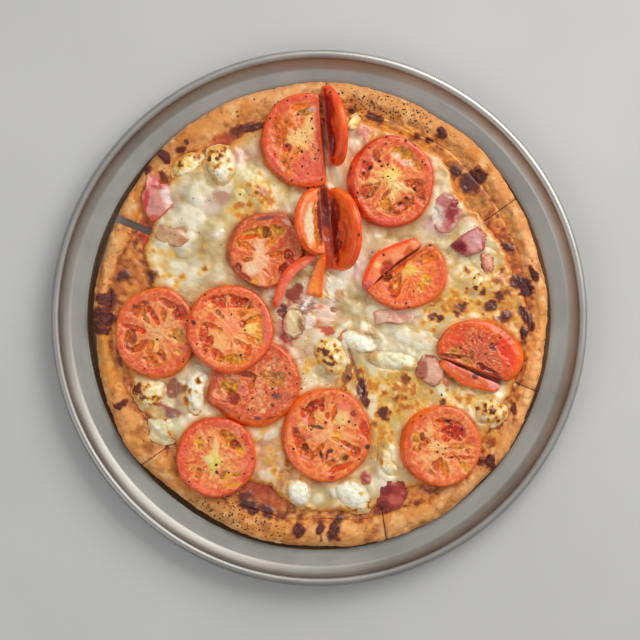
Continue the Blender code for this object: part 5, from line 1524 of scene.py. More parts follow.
def tomato_piece(node_name):
    look = LOOKS[node_name]
    centre = TOMATOES[node_name][0]
    seed = int(abs(centre[0] * 7 + centre[1] * 3)) + 200
    middle = spot(*look["middle"])
    side_at, side_wide = look["side"]
    mottle = look["mottle"]
    skin = np.array(look["skin"]) * (0.96, 1.2, 0.9) + (0, 8, 0)

    def side_width(angles):
        return side_wide * np.clip(np.cos(np.radians(turned_by(angles, side_at))), 0, 1) ** 1.4

    def paint_top(x, y, s):
        away = np.hypot(x - middle[0], y - middle[1])
        way = np.arctan2(y - middle[1], x - middle[0])
        fibres = value_noise(way * 9.0, away / 9.0, seed) * 0.6
        fibres += value_noise(way * 21.0, away / 5.0, seed + 1) * 0.4
        blotch = fbm(x, y, 5.0, 3, seed + 2)
        grain = fbm(x, y, 1.7, 2, seed + 3)
        colour = plain(x, np.array(look["flesh"]) * (0.96, 0.87, 0.74))
        rim_share = smoothstep(0.66, 0.86, s + 0.05 * blotch)
        colour = mix(colour, np.array(look["rim"]) * (0.94, 0.87, 0.7), rim_share * 0.9)
        streak = 0.9 if look.get("streaks") else 0.7
        colour = mix(colour, (250, 208, 150), np.clip(fibres * 1.3 - 0.1, 0, 1) * streak * (1 - 0.6 * rim_share))
        colour = mix(colour, (206, 90, 50), np.clip(-fibres * 1.3 - 0.1, 0, 1) * streak)
        colour = mix(colour, (252, 206, 150), smoothstep(0.08, 0.45, grain) * 0.4 * (1 - 0.5 * rim_share))
        colour = mix(colour, (190, 72, 32), smoothstep(0.08, 0.45, -grain) * 0.35)
        fleck, tag = cells(x, y, 2.0, seed + 5)
        colour = mix(colour, (250, 196, 140), (tag > 0.62) * smoothstep(0.5, 0.15, fleck) * rim_share * 0.55)
        colour = mix(colour, (204, 66, 38), smoothstep(0.1, 0.6, blotch) * (0.3 + 0.3 * mottle))
        relief = 0.24 * fibres + 0.26 * grain + 0.25 * blotch * (0.4 + mottle)
        for at, radii, tint in look["core"]:
            share = patch(x, y, at, radii, 0, 0.6, 0.35, seed + 7, 4.0)
            colour = mix(colour, tint, share * 0.85)
            relief += 0.25 * share
        wells = np.zeros_like(x)
        for at, radii, turn, tint, depth in look["wells"]:
            radii = (radii[0] * 1.12 + 0.6, radii[1] * 1.12 + 0.6)
            tint = (tint[0], min(tint[1] * 1.12 + 16, tint[0] * 0.68), min(tint[2] * 0.8, tint[0] * 0.5))
            share = patch(x, y, at, radii, turn, 0.26, 0.35, seed + 9, 3.0)
            lip = patch(x, y, at, (radii[0] + 1.6, radii[1] + 1.6), turn, 0.3, 0.35, seed + 9, 3.0) - share
            colour = mix(colour, (250, 190, 136), np.clip(lip, 0, 1) * 0.4)
            inner = mix(plain(x, tint), np.array(tint) * 0.62,
                        smoothstep(0.0, 0.6, fbm(x, y, 2.4, 2, seed + 11)) * 0.8)
            inner = mix(inner, np.minimum(np.array(tint) * 1.25 + 18, 255),
                        smoothstep(0.1, 0.6, fbm(x, y, 1.8, 2, seed + 13)) * 0.6)
            colour = mix(colour, inner, np.clip(share * 1.15, 0, 1))
            relief -= depth * share
            wells = np.maximum(wells, share)
        if look.get("villi"):
            hair = value_noise(way * 30.0, away / 6.0, seed + 15)
            colour = mix(colour, (250, 196, 130), wells * smoothstep(0.35, 0.7, hair) * 0.7)
            relief += 0.5 * wells * smoothstep(0.35, 0.7, hair)
        for at, radii, turn, tint, strength in look["marks"]:
            share = patch(x, y, at, radii, turn, 0.35, 0.35, seed + 17, 3.0)
            tint = (tint[0], min(tint[1], tint[0] * 0.84), min(tint[2], tint[0] * 0.76))
            colour = mix(colour, tint, share * strength)
        if mottle > 0.4:
            crumb, tag = cells(x, y, 1.6, seed + 19)
            raised = smoothstep(0.6, 0.1, crumb) * (1 - wells)
            relief += 0.28 * mottle * raised
            colour = mix(colour, (246, 186, 140), raised * (tag > 0.6) * 0.4 * mottle)
            colour = mix(colour, (160, 62, 40), (1 - raised) * (tag < 0.3) * 0.45 * mottle)
        relief += 0.45 * smoothstep(0.8, 0.93, s) - 0.5 * smoothstep(0.955, 1.0, s)
        skin_share = smoothstep(0.955, 0.99, s)
        colour = mix(colour, skin, skin_share * 0.85)
        wet = np.clip(0.45 + 0.5 * wells + 0.35 * blotch + 0.2 * skin_share, 0, 1)
        return relief, colour, wet

    def paint_side(x, y, w):
        tone = fbm(x, y, 6.0, 3, seed + 21)
        colour = mix(plain(x, skin), (246, 124, 40), smoothstep(0.0, 0.5, tone) * 0.55)
        colour = mix(colour, skin * 0.7, smoothstep(0.0, 0.5, -tone) * 0.5)
        return colour, np.full(x.shape, 0.9)

    return round_piece(f"slice_{node_name}", node_name, centre, lambda angles: tomato_outline(node_name, angles),
                       TOMATO, paint_top, paint_side, side_width=side_width)


# Lumps of cheese and pieces of ham.

# Place as in the frame, the outline's corners in pixels, the colour, and the browned places: pixel, radius in
# pixels and strength. Last, how brown the edge is.
WHITE = (244, 240, 222)
LUMPS = {
    "cheese_lump_1": (
        (-65, 101),
        (
            (206, 148), (218, 142), (230, 146), (238, 156), (237, 172), (229, 185), (220, 189), (211, 178),
            (204, 164),
        ),
        (244, 234, 202),
        (
            (213, 153, 11, 0.24), (204, 160, 3, 0.8), (213, 152, 3.6, 0.8), (218.5, 158, 3.4, 0.95),
            (223, 148, 3.4, 0.7), (210, 159, 3, 0.8), (216, 166, 4, 0.6), (229, 159.5, 2.2, 0.6),
            (230, 169, 2.2, 0.5),
        ),
        0.5,
    ),
    "cheese_lump_2": (
        (-89, 101),
        (
            (169, 170), (176, 160), (188, 152), (200, 151), (206, 158), (203, 168), (190, 176), (180, 180),
            (171, 177),
        ),
        (240, 226, 186),
        (
            (188, 160, 10, 0.2), (180, 164, 3.6, 0.75), (196, 157, 3.2, 0.8), (189, 155, 2.6, 0.5),
            (175, 172, 2.6, 0.5),
        ),
        0.7,
    ),
    "cheese_lump_3": (
        (-113, -50),
        ((135, 378), (150, 374), (166, 379), (170, 393), (160, 408), (146, 414), (136, 406), (130, 392)),
        (242, 230, 196),
        (
            (142, 394, 12, 0.2), (137, 391, 6, 1.0), (142, 398, 4, 0.95), (155, 402, 5.4, 1.0),
            (149, 399, 3, 0.7), (139, 383, 2.4, 0.7), (148, 386, 2.4, 0.6),
        ),
        0.6,
    ),
    "cheese_lump_4": (
        (-81, -48),
        (
            (189, 360), (202, 358), (214, 366), (213, 374), (206, 387), (206, 406), (202, 419), (190, 422),
            (184, 402), (182, 384),
        ),
        (247, 241, 220),
        (
            (198, 381, 2.6, 0.8), (190, 392, 2.6, 0.6), (196, 391, 2, 0.5), (195, 418, 5, 1.0),
            (200, 413, 2.4, 0.6), (191, 404, 2, 0.5),
        ),
        0.3,
    ),
    "cheese_lump_5": (
        (-105, -73), ((147, 420), (160, 415), (175, 418), (183, 428), (176, 443), (160, 446), (150, 440)),
        (224, 214, 176), ((172, 416, 5, 0.9), (166, 418, 3, 0.7), (170, 434, 3, 0.4)), 0.4,
    ),
    "cheese_lump_6": (
        (-14.5, -116),
        ((284, 480), (293, 476), (312, 481), (315, 495), (310, 508), (300, 510), (288, 501), (285, 490)),
        WHITE, ((284, 484, 3.6, 0.7), (281, 479, 2.6, 0.5), (288, 500, 2.4, 0.4)), 0.3,
    ),
    "cheese_lump_7": (
        (21, -117),
        (
            (331, 485), (344, 477), (358, 478), (370, 486), (376, 500), (372, 513), (354, 515), (340, 506),
            (333, 495),
        ),
        WHITE, ((372, 506, 5, 1.0), (354, 513, 3.6, 0.7), (346, 509, 2.6, 0.5), (362, 494, 2.2, 0.4)), 0.3,
    ),
    "cheese_lump_8": (
        (46.5, -96), ((381, 448), (392, 444), (391, 460), (401, 470), (399, 479), (384, 479), (378, 468)),
        (240, 222, 178), ((386, 446, 3, 0.8), (382, 462, 2, 0.5), (396, 474, 2.4, 0.4)), 0.6,
    ),
    "cheese_lump_9": (
        (6.5, -25),
        (
            (311, 346), (321, 335), (334, 332), (344, 344), (351, 360), (347, 373), (334, 380), (324, 370),
            (315, 359),
        ),
        (240, 220, 172),
        (
            (328, 354, 13, 0.26), (319, 350, 2.2, 0.9), (326, 352, 3.2, 0.95), (331, 357, 2.6, 0.95),
            (338, 350, 2.4, 0.8), (332, 364, 4, 1.0), (325, 344, 2.2, 0.7), (316, 355, 2, 0.6),
            (335, 345, 2, 0.7), (324, 361, 2.2, 0.8), (322, 341, 1.8, 0.6), (341, 357, 1.8, 0.6),
            (330, 371, 2.4, 0.6), (341, 372, 4, 0.45),
        ),
        0.6,
    ),
    "cheese_lump_10": (
        (27, -19),
        ((334, 326), (350, 327), (368, 333), (384, 341), (378, 351), (361, 355), (348, 347), (339, 337)),
        (247, 243, 224), ((364, 358, 4, 0.3),), 0.15,
    ),
    "cheese_lump_11": (
        (54, -27),
        ((366, 353), (382, 352), (400, 351), (416, 357), (418, 368), (404, 374), (384, 371), (370, 363)),
        (240, 234, 204), ((406, 370, 3, 0.3), (388, 372, 3, 0.3)), 0.2,
    ),
    "cheese_lump_12": (
        (114, -61.5),
        ((469, 404), (480, 397), (497, 398), (509, 408), (508, 420), (495, 428), (480, 425), (471, 416)),
        (244, 228, 190),
        (
            (490, 410, 13, 0.26), (484, 405, 3, 0.9), (492, 410, 4.2, 1.0), (485, 413, 3.4, 0.95),
            (500, 406, 2.6, 0.8), (497, 420, 3, 0.9), (504, 414, 2.6, 0.8), (478, 408, 2.2, 0.8),
            (490, 401, 2, 0.7), (488, 420, 2.4, 0.7),
        ),
        0.7,
    ),
    "cheese_lump_13": (
        (105, 23), ((472, 277), (478, 271), (485, 275), (485, 286), (479, 293), (472, 288)),
        (238, 212, 150),
        ((474, 278, 2.2, 0.9), (480, 275, 2.2, 0.8), (475, 287, 2.4, 0.9), (481, 284, 2, 0.6)), 0.7,
    ),
    "cheese_lump_14": (
        (21, 129), ((345, 126), (349, 116), (357, 111), (362, 119), (358, 129), (350, 132)),
        (244, 216, 150), ((350, 118, 2, 0.6), (356, 124, 2, 0.4)), 0.5,
    ),
}


def corner_reach(centre, corners, angles):
    """How far a ray from the centre goes to the outline through the corners, for each angle in degrees."""
    ways = np.stack((np.cos(np.radians(angles)), np.sin(np.radians(angles))), axis=-1)
    reach = np.full(angles.shape, 1.0)
    places = [spot(*corner) - centre for corner in corners]
    for start, end in zip(places, places[1:] + places[:1]):
        side = end - start
        cross = ways[..., 0] * side[1] - ways[..., 1] * side[0]
        cross = np.where(np.abs(cross) < 1e-9, 1e-9, cross)
        out = (start[0] * side[1] - start[1] * side[0]) / cross
        along = (start[0] * ways[..., 1] - start[1] * ways[..., 0]) / cross
        reach = np.where((out > 0) & (along >= -1e-6) & (along <= 1 + 1e-6), np.maximum(reach, out), reach)
    return reach


def rounded_reach(centre, corners, angles):
    """The same outline with its corners rounded off, by a mean over some degrees to both sides."""
    steps = np.linspace(-CORNER_SPREAD, CORNER_SPREAD, 9)
    return np.mean([corner_reach(centre, corners, angles + step) for step in steps], axis=0)


CORNER_SPREAD = 13.0
# Lumps that have sunk into the melted cheese.
FLAT_LUMPS = ("cheese_lump_10", "cheese_lump_11", "cheese_lump_5", "cheese_lump_2")


def lump_piece(node_name):
    centre, corners, tint, spots, edge_brown = LUMPS[node_name]
    seed = int(abs(centre[0] * 5 + centre[1] * 11)) + 500

    def rim_at(angles):
        reach = rounded_reach(np.array(centre), corners, angles)
        waves = np.sin(np.radians(angles * 5 + centre[0] * 20)) + 0.7 * np.sin(np.radians(angles * 11 + centre[1]))
        return reach * (1.0 + 0.03 * waves)

    def paint_top(x, y, s):
        blotch, fine = fbm(x, y, 6.0, 3, seed), fbm(x, y, 2.2, 3, seed + 3)
        brown = np.clip(dots(x, y, spots, 1.1) * (0.95 + 0.8 * fine), 0, 1)
        pebble, tag = cells(x + 1.5 * blotch, y, 4.4, seed + 5)
        colour = mix(plain(x, tint), (250, 248, 238), smoothstep(0.0, 0.5, blotch) * 0.6)
        colour = mix(colour, (222, 184, 118), smoothstep(0.5, 0.95, pebble) * 0.4)
        colour = mix(colour, (224, 196, 150), smoothstep(0.1, 0.6, -blotch) * 0.5)
        ground = cheese_tone(x, y, melt(x, y), baked_share(x, y))
        colour = mix(colour, ground, smoothstep(0.6, 0.98, s + 0.16 * blotch))
        colour = mix(colour, (218, 166, 92), smoothstep(0.78, 1.0, s + 0.3 * fine + 0.2 * blotch) * edge_brown)
        colour = browned(colour, brown)
        relief = 1.0 * blotch + 0.2 * fine + 0.4 * brown + (0.6 - 1.3 * pebble ** 2) * (0.4 + 0.6 * tag)
        return relief * smoothstep(1.05, 0.75, s), colour, np.clip(0.8 + 0.3 * blotch - 0.3 * brown, 0, 1)

    def paint_side(x, y, w):
        colour = cheese_tone(x, y, melt(x, y), baked_share(x, y))
        return mix(colour, (206, 156, 90), 0.4 * w * (0.3 + edge_brown)), np.full(x.shape, 0.7)

    return round_piece(f"lump_{node_name}", node_name, centre, rim_at, CHEESE, paint_top, paint_side,
                       rings=31, sectors=104, wall=3, passes=3, inset=0.03, dome=0.75,
                       top_drop=0.9 if node_name in FLAT_LUMPS else 0.1)


# Place as in the frame, the torn outline's corners in pixels, the main, edge and pale colours, and marks: pixel,
# radii, turn, colour and strength.
HAM_PIECES = {
    "ham_1": (
        (-109, 77),
        (
            (147, 173), (157, 172), (160, 184), (172, 184), (174, 203), (164, 214), (159, 221), (151, 222),
            (143, 209), (141, 196), (145, 188),
        ),
        (220, 146, 148), (196, 66, 48), (238, 208, 208),
        (
            ((151, 180), (7, 7), 0, (220, 110, 118), 0.8), ((167, 197), (7, 12), 10, (240, 214, 228), 0.9),
            ((144, 206), (3, 16), -12, (200, 48, 44), 0.9), ((154, 219), (9, 3.5), 0, (206, 70, 60), 0.8),
            ((158, 187), (7, 2), -10, (190, 60, 66), 0.7),
        ),
    ),
    "ham_2": (
        (-98, 52),
        (
            (152, 226), (163, 223), (174, 228), (184, 226), (191, 238), (181, 247), (170, 245), (161, 242),
            (155, 236),
        ),
        (208, 160, 134), (178, 112, 76), (224, 186, 164),
        (((160, 232), (8, 5), 20, (196, 148, 122), 0.7), ((183, 241), (6, 4), 0, (190, 118, 80), 0.6)),
    ),
    "ham_3": (
        (102, 51), ((450, 245), (462, 235), (478, 226), (487, 234), (485, 250), (467, 257), (458, 252)),
        (204, 128, 130), (160, 60, 60), (222, 168, 172),
        (
            ((458, 247), (7, 9), 20, (128, 18, 34), 1.0), ((476, 240), (7, 10), 20, (214, 150, 168), 0.8),
            ((484, 246), (2.5, 9), 8, (176, 62, 60), 0.8), ((470, 230), (10, 2), 30, (216, 120, 120), 0.7),
        ),
    ),
    "ham_4": (
        (86, 71),
        ((435, 199), (446, 191), (458, 199), (463, 212), (460, 222), (450, 233), (438, 232), (431, 219)),
        (196, 112, 116), (196, 130, 120), (234, 212, 208),
        (
            ((437, 215), (7, 13), 5, (232, 216, 222), 0.95),
            ((454, 208), (6, 15), -20, (150, 32, 38), 0.95), ((447, 226), (5, 6), 0, (206, 110, 122), 0.7),
            ((442, 197), (6, 4), 0, (200, 130, 134), 0.7),
        ),
    ),
    "ham_5": (
        (50, 1),
        ((373, 312), (384, 307), (398, 309), (414, 308), (416, 318), (402, 324), (386, 322), (376, 325)),
        (228, 172, 160), (204, 122, 96), (244, 212, 204),
        (((382, 316), (7, 5), 0, (236, 200, 190), 0.7), ((402, 316), (9, 4), 0, (222, 150, 140), 0.7)),
    ),
    "ham_6": (
        (74, -35),
        ((417, 364), (424, 354), (436, 356), (446, 366), (445, 380), (434, 387), (424, 382), (416, 374)),
        (222, 164, 150), (150, 70, 50), (238, 204, 194),
        (
            ((422, 370), (5, 11), 0, (166, 84, 66), 0.85), ((437, 371), (6, 9), 0, (232, 180, 168), 0.7),
            ((430, 356), (8, 2), 0, (190, 104, 70), 0.7),
        ),
    ),
    "ham_7": (
        (48, -118), ((378, 486), (390, 480), (404, 482), (408, 494), (402, 508), (388, 513), (377, 504)),
        (166, 54, 42), (96, 26, 18), (204, 104, 88),
        (
            ((386, 490), (6, 5), 0, (130, 24, 26), 0.9), ((396, 500), (7, 5), -20, (200, 96, 92), 0.8),
            ((384, 505), (5, 4), 0, (118, 24, 24), 0.8),
        ),
    ),
    "ham_8": (
        (-17, -4), ((283, 318), (289, 308), (300, 309), (306, 320), (303, 334), (294, 339), (283, 331)),
        (216, 182, 150), (150, 92, 60), (236, 216, 180),
        (
            ((284, 322), (4, 10), 0, (206, 140, 124), 0.9), ((301, 326), (3, 8), 15, (146, 92, 54), 0.8),
            ((292, 318), (5, 12), 0, (234, 216, 180), 0.8),
        ),
    ),
    "ham_9": (
        (112, 36), ((481, 254), (488, 251), (494, 258), (494, 270), (487, 275), (481, 267)),
        (214, 124, 106), (150, 52, 34), (234, 176, 156),
        (((488, 262), (4, 6), 0, (230, 166, 148), 0.8), ((482, 268), (2.5, 5), 0, (150, 50, 34), 0.8)),
    ),
}


def ham_piece(node_name):
    centre, corners, tint, edge_tint, light, marks = HAM_PIECES[node_name]
    seed = int(abs(centre[0] * 3 + centre[1] * 13)) + 700

    def rim_at(angles):
        reach = corner_reach(np.array(centre), corners, angles)
        return reach + 0.35 * np.sin(np.radians(angles * 7)) * np.sin(np.radians(angles * 3 + centre[0]))

    def paint_top(x, y, s):
        blotch, fine = fbm(x, y, 6.0, 3, seed), fbm(x * 0.45, y, 1.6, 3, seed + 3)
        fold = fbm(x + y * 0.6, y * 0.3, 7.0, 2, seed + 5)
        colour = mix(plain(x, tint), light, smoothstep(-0.05, 0.45, blotch) * 0.7)
        colour = mix(colour, np.array(tint) * 0.8, smoothstep(0.1, 0.6, fine) * 0.5)
        colour = tinted(colour, x, y, marks, 0.35, 0.4, seed + 7, 4.0)
        colour = mix(colour, edge_tint, smoothstep(0.86, 1.0, s + 0.08 * blotch) * 0.6)
        colour = colour + (colour.mean(axis=-1, keepdims=True) - colour) * 0.2
        colour = colour * (1.0, 0.98, 0.9)
        relief = 0.4 * blotch + 0.15 * fine + 0.7 * fold
        return relief, colour, np.clip(0.7 + 0.4 * blotch, 0, 1)

    def paint_side(x, y, w):
        return plain(x, edge_tint), np.full(x.shape, 0.6)

    return round_piece(f"cooked_{node_name}", node_name, centre, rim_at, HAM, paint_top, paint_side,
                       rings=24, sectors=104, wall=3, passes=2, inset=0.02, top_drop=0.5)


# Half slices that stand on their cut edge.

# Middle, direction, half length, rise, lean and side, as in the frame.
HALVES = {
    "tomato_1_half": ((4.2, 127), 96, 27.5, 19.5, 62, -1),
    "tomato_5_left": ((2.2, 64), 94.5, 22.5, 20.0, 42, 1),
    "tomato_5_right": ((7.5, 58.5), 94.7, 28.0, 26.0, 52, -1),
}
HALF_ENDS = {"tomato_1_half": (1.7, 0.75), "tomato_5_left": (1.25, 0.9), "tomato_5_right": (1.15, 0.75)}
HALF_THICKNESS = 5.8
# A half slice's face is this much smaller than its back, above a foot of this height.
FACE_SHARE = 0.93
FOOT_HEIGHT = 1.6


def half_outline(half_length, rise, arc_points, base_points, powers=(0.85, 0.85)):
    """An arc on a straight base. The powers make its two ends blunt or pointed."""
    turn = np.linspace(0, math.pi, arc_points)
    power = np.where(turn < math.pi / 2, powers[0], powers[1])
    arc = np.stack((half_length * np.cos(turn), rise * np.clip(np.sin(turn), 0, 1) ** power), axis=1)
    base = np.stack((np.linspace(-half_length, half_length, base_points + 2)[1:-1], np.zeros(base_points)), axis=1)
    return np.concatenate((arc, base))


def half_piece(node_name, paint_face, paint_skin, hollow=1.2, bulge=0.9):
    (middle_x, middle_y), direction, half_length, rise, lean, side = HALVES[node_name]
    lean = math.radians(lean)
    along = np.array((math.cos(math.radians(direction)), math.sin(math.radians(direction)), 0.0))
    across = np.array((-along[1], along[0], 0.0)) * side
    upward = across * math.cos(lean) + np.array((0, 0, math.sin(lean)))
    face = np.array((0, 0, math.cos(lean))) - across * math.sin(lean)

    def placed(length, height, back):
        base = np.array((middle_x, middle_y, 0.0))
        return (base + length[..., None] * along + height[..., None] * upward - back[..., None] * face)

    def shrunk(points):
        length, height = points[:, 0] * FACE_SHARE, points[:, 1]
        height = np.where(height > FOOT_HEIGHT, FOOT_HEIGHT + (height - FOOT_HEIGHT) * FACE_SHARE, height)
        return np.stack((length, height), axis=1)

    rough = half_outline(half_length, rise, 15, 0)
    corners = np.concatenate((
        placed(*shrunk(rough).T, np.zeros(15)), placed(*rough.T, np.full(15, HALF_THICKNESS)),
    ))
    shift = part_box(node_name)[0][2] / MM - corners[:, 2].min()

    outline = half_outline(half_length, rise, 150, 40, HALF_ENDS[node_name])
    front, back = shrunk(outline), outline
    middle = np.array((0.0, rise * 0.4))
    shares = np.linspace(0, 1, 37)[1:]
    face_points = middle + (front - middle) * shares[:, None, None]
    length, height = face_points[..., 0], face_points[..., 1]
    relief, colour, wet = paint_face(length, height, shares[:, None] + np.zeros_like(length))
    depth = hollow * (1 - shares[:, None] ** 2.5) - relief
    arc_side = smoothstep(0.5, 5.0, outline[:, 1])
    depth = depth + 0.9 * smoothstep(0.86, 1.0, shares)[:, None] * arc_side
    rows = [placed(length, height, depth)]
    colours, wets = [colour], [wet]
    outward = (outline - middle) / np.linalg.norm(outline - middle, axis=1, keepdims=True)
    steps = np.linspace(0, 1, 12)[1:]
    rim_depth = depth[-1]
    wall = front + (back - front) * (steps ** 0.6)[:, None, None]
    wall = wall + outward * (bulge * np.sin(steps * math.pi)[:, None, None] * arc_side[:, None])
    wall_depth = rim_depth + (HALF_THICKNESS - rim_depth) * steps[:, None]
    skin, skin_wet = paint_skin(wall[..., 0], wall[..., 1], steps[:, None] + np.zeros(wall.shape[:2]))
    rows.append(placed(wall[..., 0], wall[..., 1], wall_depth))
    colours.append(skin)
    wets.append(skin_wet)
    behind = np.array((0.8, 0.5, 0.2))
    back_points = middle + (back - middle) * behind[:, None, None]
    rows.append(placed(back_points[..., 0], back_points[..., 1], np.full(back_points.shape[:2], HALF_THICKNESS)))
    colours.append(plain(back_points[..., 0], (214, 84, 40)))
    wets.append(np.full(back_points.shape[:2], 0.7))
    rings = np.concatenate(rows)
    rings[..., 2] += shift
    if side > 0:
        rings = rings[:, ::-1]
        colours = [value[:, ::-1] for value in colours]
        wets = [value[:, ::-1] for value in wets]
    wetness = {"Wet": np.concatenate(wets)}
    piece = close_disc(f"slice_{node_name}", rings, np.concatenate(colours), wetness, TOMATO)
    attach(piece, "root")
    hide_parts(node_name)
    return piece


def oval(length, height, at, radii, turn=0.0, soft=0.35, seed=5):
    """A soft patch in a half slice's own plane, in millimetres."""
    cos, sin = math.cos(math.radians(turn)), math.sin(math.radians(turn))
    across, up = length - at[0], height - at[1]
    away = np.hypot((across * cos + up * sin) / radii[0], (-across * sin + up * cos) / radii[1])
    return smoothstep(1 + soft, 1 - soft, away + 0.3 * fbm(length, height, 3.0, 2, seed))


def face_painter(flesh, rim, patches, seed):
    """Paints a cut face. Each patch has a place, radii, a turn, a colour and a depth."""
    def paint_face(length, height, s):
        grain, blotch = fbm(length, height, 1.6, 2, seed), fbm(length, height, 5.0, 3, seed + 2)
        colour = mix(plain(length, flesh), (250, 180, 120), smoothstep(0.0, 0.5, blotch) * 0.4)
        colour = mix(colour, rim, smoothstep(0.74, 0.95, s) * 0.85)
        relief = 0.14 * grain + 0.25 * blotch
        wet = 0.5 + 0.3 * blotch
        for at, radii, turn, tint, depth in patches:
            share = oval(length, height, at, radii, turn, 0.3, seed + 5)
            colour = mix(colour, tint, share)
            relief = relief - depth * share
            wet = wet + 0.4 * share
        return relief, colour, np.clip(wet, 0, 1)
    return paint_face


def skin_painter(tint, light, seed, dots_at=()):
    """Paints a skin with painted highlight streaks, and dark dots at places with a radius."""
    def paint_skin(length, height, w):
        tone = fbm(length, w * 6.0, 7.0, 3, seed)
        lines = value_noise(length / 9.0, w * 9.0, seed + 4)
        shine = np.clip(smoothstep(0.0, 0.6, tone) * 0.5 + 0.35 * smoothstep(0.2, 0.8, lines), 0, 1)
        colour = mix(plain(length, tint), light, shine)
        colour = mix(colour, np.array(tint) * 0.72, smoothstep(0.1, 0.6, -tone) * 0.5)
        for at, radius in dots_at:
            share = oval(length, w * 6.0, at, (radius, radius), 0, 0.2, seed + 7)
            colour = mix(colour, (40, 18, 18), share)
        return colour, np.full(length.shape, 1.0)
    return paint_skin


# Curved strips of tomato.

# How many rows a strip has, their spacing, and where its solid is felt, as a share of the half width.
STRIP_ROWS = 84
ROW_STEP = 0.55
LANE = 0.62
# Stations along each strip's middle, with half widths.
STRIPS = {
    "tomato_13_strip": (((80, -28.6), 2.2), ((97.3, -39.6), 5.2), ((119.5, -47), 2.6)),
    "tomato_3_strip": (((30, 19.5), 2.6), ((42, 37.5), 7.0), ((66.5, 51), 3.2)),
    "tomato_6_arc": (((-29, 7), 2.6), ((-20, 29), 3.6), ((-2, 42), 2.6)),
    "tomato_6_wedge": (((3.5, 42), 1.8), ((-1, 28), 4.0), ((-3.5, 14), 6.0)),
}


def strip_lines(stations, rows):
    """The middle line of a strip, its sideways direction and its half width."""
    centres = np.array([place for place, _ in stations], dtype=float)
    widths = np.array([width for _, width in stations])
    spans = len(stations) - 1
    share = np.linspace(0, spans, rows)
    span = np.minimum(share.astype(int), spans - 1)
    t = (share - span)[:, None]
    before, start = centres[np.maximum(span - 1, 0)], centres[span]
    end, beyond = centres[span + 1], centres[np.minimum(span + 2, spans)]
    leave, arrive = (end - before) / 2, (beyond - start) / 2
    line = (
        start * (2 * t ** 3 - 3 * t ** 2 + 1) + leave * (t ** 3 - 2 * t ** 2 + t)
        + end * (3 * t ** 2 - 2 * t ** 3) + arrive * (t ** 3 - t ** 2)
    )
    width = widths[span] + (widths[span + 1] - widths[span]) * t[:, 0]
    way = np.gradient(line, axis=0)
    side = np.stack((-way[:, 1], way[:, 0]), axis=1)
    return line, side / np.linalg.norm(side, axis=1, keepdims=True), width


def strip_piece(node_name, skin, flesh, skin_side, seed, spots=(), wells=()):
    """Skin side is 1 where the skin is on the left of the strip's direction, -1 on its right."""
    line, side, width = strip_lines(STRIPS[node_name], STRIP_ROWS)
    tree = tree_of(node_name)
    coarse = np.linspace(0, STRIP_ROWS - 1, 22).astype(int)
    lanes = np.array((-LANE, 0.0, LANE))
    place = line[coarse, None] + side[coarse, None] * (width[coarse, None] * lanes)[..., None]
    high = felt(tree, place[..., 0], place[..., 1])
    low = felt(tree, place[..., 0], place[..., 1], False)
    for heights in (high, low):
        for lane in range(3):
            known = ~np.isnan(heights[:, lane])
            heights[:, lane] = np.interp(coarse, coarse[known], heights[known, lane])
        for _ in range(2):
            heights[1:-1] = 0.5 * heights[1:-1] + 0.25 * (heights[:-2] + heights[2:])
    u = np.sin(np.linspace(-1, 1, 19) * math.pi / 2) * 0.97
    across = np.concatenate((u, (1.0, 1.0, 0.9, 0.0, -0.9, -1.0, -1.0)))
    level = np.concatenate((np.ones(19), (0.62, 0.28, 0.0, 0.0, 0.0, 0.28, 0.62)))
    bend = np.concatenate((-0.9 * np.abs(u) ** 4, np.zeros(7)))
    taper = np.sqrt(np.clip(1 - np.abs(np.linspace(-1, 1, STRIP_ROWS)) ** 14, 0.02, 1))
    x = line[:, :1] + side[:, :1] * (width * taper)[:, None] * across
    y = line[:, 1:] + side[:, 1:] * (width * taper)[:, None] * across
    rows = np.arange(STRIP_ROWS)
    tops, lows = (
        np.stack([np.interp(rows, coarse, heights[:, lane]) for lane in range(3)], axis=1) for heights in (high, low)
    )
    pick = np.clip((across + LANE) / LANE, 0, 2)
    left = np.minimum(pick.astype(int), 1)
    ease = pick - left
    top = tops[:, left] * (1 - ease) + tops[:, left + 1] * ease
    bottom = lows[:, left] * (1 - ease) + lows[:, left + 1] * ease
    run = (rows * ROW_STEP)[:, None] + np.zeros_like(x)
    wide = across[None, :] * width[:, None]
    relief = 0.3 * fbm(run, wide, 4.0, 3, seed) + 0.14 * fbm(run, wide, 1.4, 2, seed + 3)
    height = bottom + (top - bottom) * level + bend + relief * (level > 0.5)
    sided = (across[None, :] - skin_side) * skin_side * width[:, None] + 0.5 * fbm(run, wide, 5.0, 2, seed + 5)
    share = smoothstep(-3.2, -1.8, sided)
    tone = fbm(run, wide * 2, 5.0, 3, seed + 7)
    colour = mix(plain(x, flesh), (250, 190, 150), smoothstep(0.0, 0.5, tone) * 0.5)
    skin_colour = mix(plain(x, skin), (250, 140, 60), smoothstep(0.0, 0.6, tone) * 0.4)
    colour = mix(colour, skin_colour, share)
    for at, radii, turn, tint, depth in wells:
        well = patch(x, y, at, radii, turn, 0.3, 0.3, seed + 8, 3.0) * (level > 0.9)
        colour = mix(colour, tint, well)
        height -= depth * 0.8 * well
    for column, row, radius, tint in spots:
        colour = mix(colour, tint, patch(x, y, (column, row), (radius, radius), 0, 0.3, 0.2, seed + 9, 2.0))
    wet = np.clip(0.5 + 0.5 * share, 0, 1)
    points = np.stack((x, y, height), axis=-1).reshape(-1, 3)
    start = np.arange(len(across))
    end = ((STRIP_ROWS - 1) * len(across) + start)[::-1]
    quads = grid_faces(STRIP_ROWS, len(across), 0, True)[:, ::-1]
    piece = make_object(f"slice_{node_name}", points, (quads, [start], [end]), TOMATO, colour.reshape(-1, 3),
                        {"Wet": wet})
    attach(piece, "root")
    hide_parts(node_name)
    return piece


# Pan.

